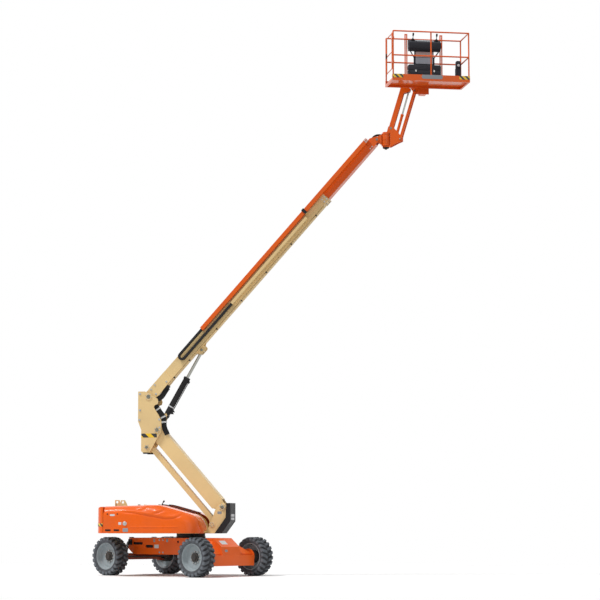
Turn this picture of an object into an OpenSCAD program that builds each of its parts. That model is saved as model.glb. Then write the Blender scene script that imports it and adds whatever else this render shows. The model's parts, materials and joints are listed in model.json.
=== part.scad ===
// Articulating boom lift, standing as the photo shows it
// Frame: origin on the ground under the swing axis, +X the way the boom points,
// +Y the turntable's left, +Z up; all sizes in mm

/* [Pose] */
// turn of the chassis against the turntable (deg)
slew = 30; // [0:1:80]
// lower boom against the ground ahead (deg)
lower_angle = 131.2; // [112:0.1:178]
// main boom against the ground ahead (deg)
main_angle = 47.9; // [0:0.1:70]
// fly boom showing beyond the collar
reach = 1720; // [250:10:4700]
// jib against the ground ahead (deg)
jib_angle = 73; // [0:0.5:75]
// platform's long side against the boom (deg)
platform_yaw = 20.1; // [0:0.1:60]

/* [Wheels] */
// tyre diameter over the lugs
tyre_d = 914; // [800:2:1000]
// tyre width
tyre_w = 355; // [300:1:400]
// bar lugs round each shoulder
lugs = 22; // [14:1:26]
// height of the lugs over the carcass
lug_h = 36; // [20:1:45]
// rim lip diameter
rim_d = 676; // [600:2:720]
// track, tyre middle to tyre middle
track_w = 1990; // [1900:5:2200]
// fixed axle ahead of the swing axis
fixed_axle_x = 1135; // [1000:5:1250]
// steer axle behind the swing axis
steer_axle_x = 1710; // [1550:5:1800]
// kingpin inside the tyre's middle
kingpin_in = 262; // [250:1:290]

/* [Chassis] */
// frame width
frame_w = 860; // [760:5:900]
// frame underside height
frame_z = 500; // [480:5:540]
// frame depth
frame_h = 392; // [340:2:400]
// plate thickness of the frame
frame_t = 14; // [10:1:20]

/* [Turntable] */
// deck underside height
deck_z = 1000; // [990:1:1040]
// deck plate thickness
deck_t = 25; // [15:1:30]
// hood width over both sides
hood_w = 2180; // [2000:5:2300]
// hood height at its peak
hood_top = 1670; // [1600:5:1720]
// tail of the hoods behind the swing axis
hood_tail = 1855; // [1700:5:1900]
// rounding of the hood's upper edge
hood_r = 110; // [60:5:160]
// how far the hood's swept ribs stand proud
hood_rib = 7; // [3:1:12]
// hood skin thickness
hood_t = 8; // [5:0.5:12]

/* [Lower boom] */
// lower pivot ahead of the swing axis
lower_x = 816; // [700:1:850]
// lower pivot height
lower_z = 1623; // [1580:1:1680]
// pin to pin length
lower_l = 2440; // [2300:5:2600]
// tube depth
lower_h = 330; // [280:2:340]
// tube width
lower_w = 290; // [240:2:300]
// tension link depth
link_h = 116; // [90:1:120]

/* [Main boom] */
// base section length from pivot to collar
base_l = 6400; // [6000:10:6800]
// base section depth
base_h = 262; // [240:1:280]
// base section width
base_w = 280; // [250:1:284]
// wall of the base section
base_t = 8; // [5:0.5:10]
// fly depth
fly_h = 216; // [190:1:220]
// fly width
fly_w = 236; // [200:1:240]
// lift cylinder barrel diameter
lift_d = 140; // [110:1:145]

/* [Jib] */
// jib pin to pin
jib_l = 1208; // [1100:2:1300]
// jib arm depth
jib_h = 110; // [90:1:120]

/* [Platform] */
// platform length
plat_l = 1850; // [1600:10:2000]
// platform depth
plat_w = 860; // [800:5:1000]
// rail height over the underside
plat_h = 1190; // [1100:2:1250]
// rail tube diameter
rail_d = 34; // [28:1:40]
// floor frame depth
floor_h = 60; // [40:1:70]

/* [Hidden] */
run_fit = 0.05;
seat_gap = 0.3;
wear_gap = 0.5;
clear = 7;
fn_pin = 40;
fn_wheel = 64;
half_track = track_w / 2;
hub_deep = 175;
axle_half = half_track - 222;
king_y = half_track - kingpin_in;
steer_half = king_y - 43;
axle_front = fixed_axle_x + 195;
axle_rear = fixed_axle_x - 145;
steer_end = 1690;
frame_top = frame_z + frame_h;
deck_top = deck_z + deck_t;
axle_z = tyre_d / 2;
// upper end of the lower boom and the upright's own points
up_x = lower_x + lower_l * cos(lower_angle);
up_z = lower_z + lower_l * sin(lower_angle);
link_dx = -255;
link_dz = -413;
main_x = up_x - 219;
main_z = up_z + 794;
foot_x = up_x + 166;
foot_z = up_z + 341;
upright_y = 190;
upright_t = 20;
// lift cylinder's eye in the main boom's own frame
eye_s = 1680;
eye_v = -200;
eye_x = main_x + eye_s * cos(main_angle) - eye_v * sin(main_angle);
eye_z = main_z + eye_s * sin(main_angle) + eye_v * cos(main_angle);
lift_angle = atan2(eye_z - foot_z, eye_x - foot_x);
lift_l = norm([eye_x - foot_x, eye_z - foot_z]);
// fly end, level pin and jib points
fly_end = base_l + reach;
fly_l = 6200;
neck_s = fly_end + 95;
neck_v = -40;
neck_x = main_x + neck_s * cos(main_angle) - neck_v * sin(main_angle);
neck_z = main_z + neck_s * sin(main_angle) + neck_v * cos(main_angle);
turn_x = neck_x + 200;
jib_x = neck_x + 330;
jib_z = neck_z + 265;
jlink_dx = 225;
jlink_dz = -270;
jfoot_dx = 104;
jfoot_dz = -249;
jib_ex = jib_x + jib_l * cos(jib_angle);
jib_ez = jib_z + jib_l * sin(jib_angle);
jeye_s = 1000;
jeye_v = -150;
jeye_x = jib_x + jeye_s * cos(jib_angle) - jeye_v * sin(jib_angle);
jeye_z = jib_z + jeye_s * sin(jib_angle) + jeye_v * cos(jib_angle);
jcyl_angle = atan2(jeye_z - jib_z - jfoot_dz, jeye_x - jib_x - jfoot_dx);
jcyl_l = norm([jeye_x - jib_x - jfoot_dx, jeye_z - jib_z - jfoot_dz]);
rot_x = jib_ex + 392;
rot_h = 240;
rot_r = 90;
floor_z = jib_ez - 245;
rot_z0 = floor_z - 110;
rot_gap = 160;
toe_t = 4;
console_d = 190;
rail_in = toe_t + seat_gap + rail_d / 2;
track_y = -210;
track_up = 104;
track_low = -36;
track_pitch = 100;

orange = [0.86, 0.30, 0.08];
cream = [0.80, 0.72, 0.53];
dark = [0.10, 0.10, 0.11];
steel = [0.72, 0.73, 0.75];
grey = [0.62, 0.63, 0.64];
rubber = [0.25, 0.25, 0.26];

// one box tube along +X from the origin, centred in Y and Z
module tube(l, w, h, t) {
  difference() {
    translate([0, -w / 2, -h / 2]) cube([l, w, h]);
    translate([-1, t - w / 2, t - h / 2]) cube([l + 2, w - 2 * t, h - 2 * t]);
  }
}

// one flat plate: outline in X and Z, between two places in Y
module plate(pts, y0, y1) {
  translate([0, y1, 0]) rotate([90, 0, 0]) linear_extrude(y1 - y0) polygon(pts);
}

// the same plate on both sides of the middle plane
module plates(pts, y0, y1) {
  plate(pts, y0, y1);
  plate(pts, -y1, -y0);
}

// one round bar across, middle at X, Z
module pin(x, z, r, l) {
  translate([x, 0, z]) rotate([90, 0, 0]) cylinder(r = r, h = l, center = true, $fn = fn_pin);
}

// one round bar between two points
module bar(a, b, d) {
  v = b - a;
  translate(a) rotate([0, acos(v[2] / norm(v)), atan2(v[1], v[0])]) cylinder(d = d, h = norm(v), $fn = 16);
}

// the same round boss on both sides, from one place in Y to another
module bosses(x, z, r, y0, y1) {
  for (s = [-1, 1]) translate([x, s * (y0 + y1) / 2, z]) rotate([90, 0, 0])
    cylinder(r = r, h = y1 - y0, center = true, $fn = fn_pin);
}

module on_chassis() { rotate([0, 0, -slew]) children(); }
module on_lower() { translate([lower_x, 0, lower_z]) rotate([0, -lower_angle, 0]) children(); }
module on_link() { translate([lower_x + link_dx, 0, lower_z + link_dz])
  rotate([0, -lower_angle, 0]) children(); }
module on_upright() { translate([up_x, 0, up_z]) children(); }
module on_main() { translate([main_x, 0, main_z]) rotate([0, -main_angle, 0]) children(); }
module on_lift() { translate([foot_x, 0, foot_z]) rotate([0, -lift_angle, 0]) children(); }
module on_jib() { translate([jib_x, 0, jib_z]) rotate([0, -jib_angle, 0]) children(); }
module on_jcyl() { translate([jib_x + jfoot_dx, 0, jib_z + jfoot_dz]) rotate([0, -jcyl_angle, 0])
  children(); }
// platform frame: rotator axis at the origin, +X along the platform, -Y into it
module on_platform() { translate([rot_x, 0, floor_z]) rotate([0, 0, platform_yaw]) children(); }

// one long hole through both side plates of the frame
module frame_slot(x, z, l, h) {
  rotate([90, 0, 0]) for (s = [-1, 1]) translate([x + s * (l - h) / 2, z, 0])
    cylinder(d = h, h = frame_w + 2, center = true, $fn = fn_pin);
  translate([x - (l - h) / 2, -frame_w / 2 - 1, z - h / 2]) cube([l - h, frame_w + 2, h]);
}

module chassis_frame() {
  nose_w = 310;
  side = [[-steer_end, 650], [-steer_end, frame_top - 50], [50 - steer_end, frame_top],
    [1025, frame_top], [1290, 690],
    [axle_front, frame_z], [-1480, frame_z], [-1580, 560]];
  inner = [[-1560, frame_z - 1], [-1560, frame_top - frame_t], [1025 - frame_t, frame_top - frame_t],
    [fixed_axle_x + 100, 690], [fixed_axle_x + 100, frame_z - 1]];
  plan = [[-steer_end, -frame_w / 2], [676, -frame_w / 2], [1025, -nose_w], [axle_front, -nose_w],
    [axle_front, nose_w],
    [1025, nose_w], [676, frame_w / 2], [-steer_end, frame_w / 2]];
  color(orange) on_chassis() {
    difference() {
      intersection() {
        plate(side, -frame_w / 2, frame_w / 2);
        linear_extrude(1000) polygon(plan);
      }
      intersection() {
        plate(inner, frame_t - frame_w / 2, frame_w / 2 - frame_t);
        linear_extrude(1000) offset(delta = -frame_t) polygon(plan);
      }
      for (s = [-1, 1]) translate([-steer_end - 1, s * 300, 740]) rotate([0, 90, 0])
        cylinder(d = 60, h = steer_end - 1500, $fn = fn_pin);
      frame_slot(-1350, 760, 330, 60);
      frame_slot(-960, 690, 260, 70);
      frame_slot(-8, 800, 62, 60);
    }
    for (s = [0, 1]) mirror([0, s, 0]) hull() {
      translate([0, 0, frame_top - 80]) linear_extrude(10)
        polygon([[690, frame_w / 2 - 8], [1010, nose_w + 3], [1010, nose_w - 10], [690, frame_w / 2 - 20]]);
      translate([0, 0, frame_z]) linear_extrude(30)
        polygon([[axle_rear, axle_half - 5], [axle_front - 60, axle_half - 5],
          [axle_front - 60, nose_w - 10], [axle_rear, nose_w - 10]]);
    }
    translate([-steer_end, -90, 520]) cube([150, 180, 160]);
  }
}

module fixed_axle() {
  wall = 16;
  color(orange) on_chassis() {
    difference() {
      translate([axle_rear, -axle_half, 250]) cube([axle_front - axle_rear, 2 * axle_half, frame_z - 250]);
      translate([axle_rear + wall, wall - axle_half, 250 + wall])
        cube([axle_front - axle_rear - 2 * wall, 2 * (axle_half - wall), frame_z - 250 - 2 * wall]);
    }
    for (s = [-1, 1]) translate([fixed_axle_x, s * (axle_half - 1), axle_z]) rotate([-90 * s, 0, 0]) {
      cylinder(r = 185, h = 31, $fn = fn_wheel);
      cylinder(r = 140, h = half_track - axle_half - hub_deep - clear, $fn = fn_wheel);
      cylinder(r = 70, h = half_track - axle_half - 11, $fn = fn_pin);
    }
  }
}

module steer_axle() {
  color(orange) on_chassis() translate([-steer_axle_x, 0, 0]) {
    difference() {
      translate([-90, -steer_half, 370]) cube([180, 2 * steer_half, 150]);
      translate([-76, 50 - steer_half, 384]) cube([152, 2 * (steer_half - 50), 122]);
      for (s = [-1, 1]) translate([-91, s * king_y - 95, 380]) cube([182, 190, 130]);
    }
    for (s = [0, 1]) mirror([0, s, 0]) for (z = [340, 510]) difference() {
      translate([-60, king_y - 105, z]) cube([120, 150, 40]);
      translate([0, king_y, z - 1]) cylinder(r = 35 + run_fit, h = 42, $fn = fn_pin);
    }
  }
}

module knuckle(s) {
  color(dark) on_chassis() translate([-steer_axle_x, s * king_y, 0]) {
    translate([0, 0, 335]) cylinder(r = 35, h = 220, $fn = fn_pin);
    translate([0, 0, 381]) cylinder(r = 70, h = 128, $fn = fn_pin);
    translate([0, 0, axle_z]) rotate([-90 * s, 0, 0]) cylinder(r = 50, h = 90, $fn = fn_pin);
    translate([0, 80 * s, axle_z]) rotate([-90 * s, 0, 0])
      cylinder(r = 70, h = kingpin_in - 92, $fn = fn_pin);
    translate([0, -30, 395]) cube([220, 60, 30]);
    translate([220, 0, 395]) cylinder(r = 38, h = 30, $fn = fn_pin);
  }
}

module knuckle_left() { knuckle(1); }
module knuckle_right() { knuckle(-1); }

module tie_rod() {
  color(dark) on_chassis() translate([220 - steer_axle_x, 0, 0]) {
    for (s = [-1, 1]) translate([0, s * king_y, 425 + wear_gap]) cylinder(r = 36, h = 40, $fn = fn_pin);
    translate([0, -king_y, 446]) rotate([-90, 0, 0]) cylinder(r = 18, h = 2 * king_y, $fn = fn_pin);
  }
}

module slew_ring() {
  color(dark) difference() {
    translate([0, 0, frame_top]) cylinder(r = 350, h = 36, $fn = fn_wheel);
    translate([0, 0, frame_top - 1]) cylinder(r = 250, h = 38, $fn = fn_wheel);
  }
}

// the wheel stands with its axis along Z, outside up
module at_wheel(x, s) {
  on_chassis() translate([x, s * half_track, axle_z]) rotate([-90 * s, 0, 0]) children();
}

// a tyre as a grid of its profile's rows turned round the axle; bar lugs rise on the tread rows,
// and those of one shoulder stand half a pitch from the other's
module tyre_form() {
  r = tyre_d / 2;
  w = tyre_w / 2;
  tread = r - lug_h;
  pitch = 360 / lugs;
  step = [0, 0.1, 0.5, 0.6];
  n = 4 * lugs;
  bead = (rim_d / 2 - 22) / cos(0.2 * pitch);
  half = [[bead, 138, 0], [bead + 26, 140, 0], [tread, w, lug_h], [tread, 16, lug_h]];
  rows = concat([for (h = half) [h[0], -h[1], h[2], 1]],
    [for (j = [3:-1:0]) [half[j][0], half[j][1], half[j][2], 3]]);
  m = len(rows);
  points = [for (i = [0:n - 1]) for (q = rows)
    let (a = (floor(i / 4) + step[i % 4]) * pitch, up = (i - q[3] + 4) % 4 < 2 ? q[0] + q[2] : q[0])
    [up * cos(a), up * sin(a), q[1]]];
  faces = [for (i = [0:n - 1]) for (j = [0:m - 1])
    let (k = (i + 1) % n, l = (j + 1) % m)
    each [[i * m + j, i * m + l, k * m + l], [i * m + j, k * m + l, k * m + j]]];
  color(rubber) polyhedron(points, faces);
}

module rim_form() {
  b = rim_d / 2 - 22 - seat_gap;
  l = rim_d / 2;
  color(grey) rotate_extrude($fn = fn_wheel) polygon([[b, -140], [b, 140 + seat_gap], [l, 140 + seat_gap],
    [l, 152], [b - 14, 152], [b - 30, 60], [b - 44, 30], [105 + seat_gap, 24], [105 + seat_gap, 10],
      [b - 34, 10], [b - 16, -60],
    [b - 16, -152], [l, -152], [l, -140 - seat_gap], [b, -140 - seat_gap]]);
}

module hub_form() {
  color(dark) rotate_extrude($fn = fn_wheel) polygon([[0, -8], [70 + run_fit, -8],
    [70 + run_fit, -hub_deep], [150, -hub_deep],
    [150, 10 - seat_gap], [105, 10 - seat_gap], [105, 62], [70, 62], [62, 92], [0, 92]]);
}

module tyre_drive_left() { at_wheel(fixed_axle_x, 1) tyre_form(); }
module tyre_drive_right() { at_wheel(fixed_axle_x, -1) tyre_form(); }
module tyre_steer_left() { at_wheel(-steer_axle_x, 1) tyre_form(); }
module tyre_steer_right() { at_wheel(-steer_axle_x, -1) tyre_form(); }
module rim_drive_left() { at_wheel(fixed_axle_x, 1) rim_form(); }
module rim_drive_right() { at_wheel(fixed_axle_x, -1) rim_form(); }
module rim_steer_left() { at_wheel(-steer_axle_x, 1) rim_form(); }
module rim_steer_right() { at_wheel(-steer_axle_x, -1) rim_form(); }
module hub_drive_left() { at_wheel(fixed_axle_x, 1) hub_form(); }
module hub_drive_right() { at_wheel(fixed_axle_x, -1) hub_form(); }
module hub_steer_left() { at_wheel(-steer_axle_x, 1) hub_form(); }
module hub_steer_right() { at_wheel(-steer_axle_x, -1) hub_form(); }

module turntable_frame() {
  color(cream) {
    translate([-hood_tail - clear, -640, deck_z]) cube([hood_tail + clear + 340, 1280, deck_t]);
    translate([339, -255, deck_z]) cube([351, 510, deck_t]);
  }
}

module side_walls() {
  wall = [[-1850, deck_top], [-1850, 1600], [-720, 1640], [-500, 1625], [170, 1430], [300, 1330],
    [355, 1200],
    [360, deck_top]];
  color(cream) {
    plates(wall, 262, 274);
    for (x = [-1200, -700]) for (s = [0, 1]) mirror([0, s, 0]) {
      for (d = [-30, 14]) translate([x + d, 262, 1560]) cube([16, 36, 124]);
      translate([x - 30, 288, 1676]) rotate([0, 90, 0]) cylinder(r = 8, h = 60, $fn = fn_pin);
    }
  }
}

module boom_tower() {
  tower = [[430, deck_top], [560, 1330], [640, 1560], [720, lower_z + 70], [lower_x, lower_z + 92],
    [880, lower_z + 80],
    [925, lower_z], [925, 1374], [680, deck_top]];
  color(cream) difference() {
    union() {
      plates(tower, 190, 215);
      bosses(lower_x, lower_z, 82, 214, 228);
      bosses(lower_x + link_dx, lower_z + link_dz, 66, 214, 224);
    }
    pin(lower_x, lower_z, 45 + run_fit, 900);
    pin(lower_x + link_dx, lower_z + link_dz, 35 + run_fit, 430.2);
  }
}

module lifting_lugs() {
  color(cream) difference() {
    plates([[-1805, deck_top], [-1805, 1790], [-1700, 1790], [-1600, 1600], [-1500, deck_top]], 236, 262);
    pin(-1752, 1740, 30, 900);
  }
}

module slew_race() {
  color(dark) difference() {
    translate([0, 0, frame_top + 36 + wear_gap])
      cylinder(r = 340, h = deck_z - frame_top - 36 - wear_gap, $fn = fn_wheel);
    translate([0, 0, frame_top]) cylinder(r = 200, h = 200, $fn = fn_wheel);
  }
}

module counterweights() {
  y = hood_w / 2;
  x = -hood_tail - clear;
  h = hood_top - 45;
  plan = [[x, 300], [x, y], [x - 60, y - 25], [x - 120, y - 90], [x - 170, y - 200], [x - 230, y - 420],
    [x - 255, 300]];
  side = [[x, deck_z + 5], [x, h], [x - 80, h - 4], [x - 170, h - 30], [x - 225, h - 75],
    [x - 256, h - 150],
    [x - 256, deck_z + 150], [x - 236, deck_z + 60], [x - 196, deck_z + 5]];
  color(orange) for (s = [0, 1]) mirror([0, s, 0]) intersection() {
    translate([0, 0, deck_z]) linear_extrude(hood_top - deck_z) polygon(plan);
    plate(side, 300, y);
  }
}

module battery_packs() {
  color(dark) for (s = [-1, 1])
    translate([-1500, s * 610 - 290, deck_top]) cube([1500, 580, 360]);
}

module front_guard() {
  side = [[925, 1715], [1020, 1715], [1020, 1285], [810, 1000], [638, 1000], [908, 1374]];
  color(dark) {
    plates(side, 262, 284);
    plate([[998, 1715], [1020, 1715], [1020, 1285], [998, 1285]], -263, 263);
    plate([[998, 1292], [1020, 1285], [810, 1000], [782, 1000]], -263, 263);
    plates([[925, 1420], [925, 1600], [999, 1600], [999, 1420]], 190, 263);
  }
}

// the hood's body, all walls moved in by t: side view, plan and two rounded upper edges cut one another
module hood_body(t) {
  y = hood_w / 2 - t;
  z = hood_top - t;
  x = -hood_tail + t;
  fall = atan2(190, 670);
  side = [[x, 1008 - t], [x, z - 40], [-1300, z - 15], [-720, z], [-490, z - 15], [180 - t / 3, z - 205],
    [310 - t / 2, z - 265], [390 - t, z - 330], [430 - t, z - 410], [450 - t, z - 520],
      [458 - t, 1008 - t]];
  plan = [[x, 284 - t], [x, y], [60, y], [290 - t / 2, y - 60], [410 - t, y - 175], [458 - t, y - 330],
    [450 - t, 640],
    [371 - t, 284 - t]];
  edge = concat([[284 - t, 900], [y, 900]],
    [for (a = [0:22.5:90]) [y - hood_r + hood_r * cos(a), z - hood_r + hood_r * sin(a)]],
    [[284 - t, z]]);
  intersection() {
    plate(side, 284 - t, y);
    translate([0, 0, 900]) linear_extrude(900) polygon(plan);
    translate([-2000, 0, 0]) rotate([90, 0, 90]) linear_extrude(3000) polygon(edge);
    translate([-490, 0, z - 15]) rotate([0, fall, 0]) translate([-3000, 0, -z])
      rotate([90, 0, 90]) linear_extrude(4500)
      polygon([for (e = edge) e[1] < 901 ? [e[0], -900] : e]);
  }
}

// a swept rib on the hood's side, between two curves that share their ends
module swoosh(a, low, high, b) {
  n = 8;
  run = [for (i = [0:n]) let (u = i / n) (1 - u) * (1 - u) * a + 2 * u * (1 - u) * low + u * u * b];
  back = [for (i = [n - 1:-1:1]) let (u = i / n) (1 - u) * (1 - u) * a + 2 * u * (1 - u) * high + u * u * b];
  plate(concat(run, back), hood_w / 2 - 1, hood_w / 2 + hood_rib);
}

module hood_form() {
  color(orange) difference() {
    union() {
      difference() {
        hood_body(0);
        hood_body(hood_t);
        for (x = [-1200, -700]) translate([x - 38, 283, 1500]) cube([76, 24, 300]);
        translate([-hood_tail - 1, 0, 900]) cube([hood_t + 2, 640 + clear, deck_top + clear - 900]);
        for (x = [-1800, -1590]) translate([x, hood_w / 2 - 20, 1060]) cube([130, 40, 36]);
      }
      swoosh([-1357, 1473], [-60, 1170], [-150, 1330], [90, 1445]);
      swoosh([-995, 1558], [-520, 1400], [-560, 1500], [-286, 1558]);
      translate([-1090, hood_w / 2 - 1, 1140]) cube([1060, hood_rib + 1, 18]);
      for (x = [-1200, -700]) translate([x - 12, 279, hood_top - 34]) cube([24, 60, 50]);
    }
    translate([-1300, 288, 1676]) rotate([0, 90, 0]) cylinder(r = 8 + run_fit, h = 700, $fn = fn_pin);
  }
}

module hood_left() { hood_form(); }
module hood_right() { mirror([0, 1, 0]) hood_form(); }

module lower_boom() {
  color(cream) on_lower() {
    translate([150, 0, 60]) tube(lower_l - 330, lower_w, lower_h, 10);
    plates([[0, -75], [260, -100], [260, 220], [120, 200], [-60, 60], [-75, 0],
      [-55, -55]], lower_w / 2 - 20, lower_w / 2);
    plates([[lower_l, -75], [lower_l - 330, -100], [lower_l - 330, 220], [lower_l - 160, 190],
      [lower_l + 60, 60],
      [lower_l + 75, 0], [lower_l + 55, -55]], lower_w / 2 - 20, lower_w / 2);
    pin(0, 0, 45, 470);
    pin(lower_l, 0, 45, 460);
  }
}

module tension_link() {
  color(cream) on_link() {
    translate([110, 0, -60]) tube(lower_l - 220, 200, link_h, 8);
    plates([[0, -60], [150, -110], [150, 0], [60, 45], [-55, 25], [-55, -30]], 80, 100);
    plates([[lower_l, -60], [lower_l - 150, -110], [lower_l - 150, 0], [lower_l - 60, 45],
      [lower_l + 55, 25],
      [lower_l + 55, -30]], 80, 100);
    pin(0, 0, 35, 430);
    pin(lower_l, 0, 35, 460);
  }
}

module upright() {
  side = [[-477, 920], [-310, 920], [-120, 812], [0, 745], [22, 680], [0, 612], [-63, 590], [-90, 544],
    [97, 232],
    [99, -54], [33, -148], [-169, -504], [-185, -540], [-353, -540], [-395, -504], [-395, -2], [-475, 202]];
  color(cream) on_upright() difference() {
    union() {
      plates(side, upright_y, upright_y + upright_t);
      for (b = [[0, 0, 78], [link_dx, link_dz, 62], [-219, 794, 84]])
        bosses(b[0], b[1], b[2], upright_y + upright_t - 1, upright_y + upright_t + 12);
      plate([[-395, -480], [-375, -480], [-375, -60], [-395, -60]], -191, 191);
      plate([[-475, 260], [-455, 260], [-455, 500], [-475, 500]], -191, 191);
      plate([[0, 250], [20, 250], [-150, 540], [-170, 540]], -191, 191);
      plates([[12, 255], [98, 150], [190, 290], [215, 350], [190, 400], [60, 345], [-40, 335]], 80, 105);
    }
    pin(0, 0, 45 + run_fit, 900);
    pin(link_dx, link_dz, 35 + run_fit, 900);
    pin(-219, 794, 50 + run_fit, 900);
  }
  color(cream) on_upright() bosses(166, 341, 32, 80, 120);
}

module hose_bundle() {
  color(dark) on_upright() {
    bar([139.3, -149.5, 118], [139.3, -149.5, 262], 80);
    bar([150, -149.5, 222], [-40, -149.5, 538], 74);
    translate([60, -upright_y, 170]) cube([80, 50, 40]);
  }
}

module main_boom() {
  color(cream) difference() {
    on_main() {
      translate([60, 0, 0]) tube(base_l - 60, base_w, base_h, base_t);
      plates([[-90, 60], [-40, 130], [700, base_h / 2], [700, -base_h / 2], [150, -150], [-60, -90],
        [-100, 0]],
        base_w / 2 - 1, base_w / 2 + 14);
      difference() {
        translate([base_l - 160, 0, 0]) tube(160, base_w + 22, base_h + 22, 30);
        translate([base_l - 200, -fly_w / 2 - wear_gap, -fly_h / 2 - wear_gap])
          cube([300, fly_w + 2 * wear_gap, fly_h + 2 * wear_gap]);
      }
      bosses(0, 0, 50, base_w / 2 - 64, base_w / 2 + 76);
      plates([[eye_s - 190, -base_h / 2 + 1], [eye_s - 60, eye_v - 62], [eye_s + 40, eye_v - 62],
        [eye_s + 70, eye_v],
        [eye_s + 190, -base_h / 2 + 1]], 62, 84);
      translate([3000, -base_w / 2 - 125, track_low - 32]) difference() {
        cube([2720, 126, 64]);
        translate([-1, 7, 32 - 25 - wear_gap]) cube([2722, 96, 50 + 2 * wear_gap]);
      }
      difference() {
        translate([base_l - 640, track_y - 66, track_up - 66])
          cube([70, -base_w / 2 + 1 - track_y + 66, 132]);
        translate([base_l - 641, track_y - 50 - wear_gap, track_up - 50 - wear_gap])
          cube([72, 100 + 2 * wear_gap, 100 + 2 * wear_gap]);
      }
    }
    on_main() pin(eye_s, eye_v, 32 + run_fit, 400);
  }
}

module lift_rod() {
  color(steel) on_lift() {
    translate([lift_l - 1160, 0, 0]) rotate([0, 90, 0]) cylinder(r = 36, h = 1120, $fn = fn_pin);
    pin(lift_l, 0, 54, 116);
    pin(lift_l, 0, 32, 200);
  }
}

module lift_barrel() {
  color(dark) on_lift() difference() {
    union() {
      translate([60, 0, 0]) rotate([0, 90, 0]) cylinder(d = lift_d, h = 990, $fn = fn_pin);
      translate([995, 0, 0]) rotate([0, 90, 0]) cylinder(d = lift_d + 22, h = 55, $fn = fn_pin);
      pin(0, 0, 66, 150);
      translate([0, -50, -50]) cube([80, 100, 100]);
    }
    translate([120, 0, 0]) rotate([0, 90, 0]) cylinder(r = 36 + run_fit, h = 1000, $fn = fn_pin);
  }
}

module fly_boom() {
  color(orange) on_main() difference() {
    union() {
      translate([fly_end - fly_l, 0, 0]) tube(fly_l, fly_w, fly_h, 7);
      plates([[fly_end - 260, fly_h / 2], [fly_end, fly_h / 2], [fly_end + 140, 20],
        [fly_end + 150, -40], [fly_end + 120, -95],
        [fly_end - 260, -fly_h / 2]], fly_w / 2 - 20, fly_w / 2);
    }
    pin(neck_s, neck_v, 30 + run_fit, 400);
  }
}

module push_tube() {
  color(orange) on_main() {
    translate([fly_end - 6060, track_y, track_up]) tube(6000, 100, 100, 5);
    translate([fly_end - 150, track_y - 50, track_up - 50]) cube([90, 100, 100]);
    translate([fly_end - 150, -fly_w / 2 - 50, 20]) cube([90, 50, 60]);
  }
}

module power_track() {
  b = fly_end - 6000 - 860;
  color(dark) on_main() {
    difference() {
      union() {
        translate([b, track_y - 40, track_up - 25]) cube([2600, 80, 50]);
        translate([b, track_y - 40, track_low - 25]) cube([2760, 80, 50]);
      }
      for (i = [1:25]) translate([b + i * track_pitch, track_y - 41, track_low - 26])
        cube([8, 7, track_up - track_low + 52]);
    }
    translate([b, track_y, (track_up + track_low) / 2]) rotate([90, 0, 0]) difference() {
      cylinder(r = (track_up - track_low) / 2 + 25, h = 80, center = true, $fn = fn_pin);
      cylinder(r = (track_up - track_low) / 2 - 25, h = 82, center = true, $fn = fn_pin);
      translate([0, -200, -100]) cube([400, 400, 200]);
    }
  }
}

module jib_neck() {
  color(orange) {
    difference() {
      union() {
        plate([[neck_x - 55, neck_z - 40], [neck_x - 40, neck_z + 50], [neck_x + 110, neck_z + 120],
          [neck_x + 110, neck_z - 130],
          [neck_x, neck_z - 60]], -90, 90);
        translate([turn_x, 0, neck_z - 150]) cylinder(r = 100, h = 300, $fn = fn_pin);
      }
      translate([turn_x, 0, neck_z - 160]) cylinder(r = 45 + run_fit, h = 320, $fn = fn_pin);
    }
    pin(neck_x, neck_z, 30, fly_w);
  }
}

module jib_yoke() {
  side = [[jib_x - 100, neck_z + 155], [jib_x - 60, jib_z + 40], [jib_x, jib_z + 62],
    [jib_x + 55, jib_z + 30],
    [jib_x + jlink_dx + 50, jib_z + jlink_dz + 45], [jib_x + jlink_dx + 50, jib_z + jlink_dz - 40],
    [jib_x + jlink_dx - 60, jib_z + jlink_dz - 85], [jib_x - 20, neck_z - 182], [jib_x - 100, neck_z - 182],
    [jib_x - 100, neck_z - 157], [jib_x - 18, neck_z - 157], [jib_x - 18, neck_z + 155]];
  color(orange) difference() {
    union() {
      plates(side, 64, 78);
      for (z = [-182, 152]) translate([0, 0, neck_z + z]) linear_extrude(28)
        polygon([[turn_x - 70, -50], [turn_x - 30, -78], [jib_x - 18, -78], [jib_x - 18, 78],
          [turn_x - 30, 78], [turn_x - 70, 50]]);
      translate([turn_x, 0, neck_z - 182]) cylinder(r = 45, h = 362, $fn = fn_pin);
    }
    pin(jib_x, jib_z, 25 + run_fit, 400);
    pin(jib_x + jlink_dx, jib_z + jlink_dz, 20 + run_fit, 400);
    pin(jib_x + jfoot_dx, jib_z + jfoot_dz, 20 + run_fit, 400);
  }
}

module jib_arm() {
  color(orange) on_jib() {
    difference() {
      translate([-45, -58, -jib_h / 2]) cube([jib_l + 90, 116, jib_h]);
      translate([-46, -49, -jib_h / 2 - 1]) cube([jib_l + 92, 98, jib_h - 9]);
    }
    plates([[jeye_s - 120, -40], [jeye_s - 32, jeye_v - 34], [jeye_s + 32, jeye_v - 34],
      [jeye_s + 120, -40]], 40, 58);
    bosses(jeye_s, jeye_v, 18, 34, 63);
    pin(0, 0, 25, 160);
    pin(jib_l, 0, 25, 160);
  }
}

module jib_link() {
  color(orange) translate([jlink_dx, 0, jlink_dz]) on_jib() {
    for (s = [-1, 1]) {
      translate([0, s * 89 - 7, -28]) cube([jib_l, 14, 56]);
    }
    for (x = [0, jib_l]) bosses(x, 0, 20, 62, 102);
  }
}

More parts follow.
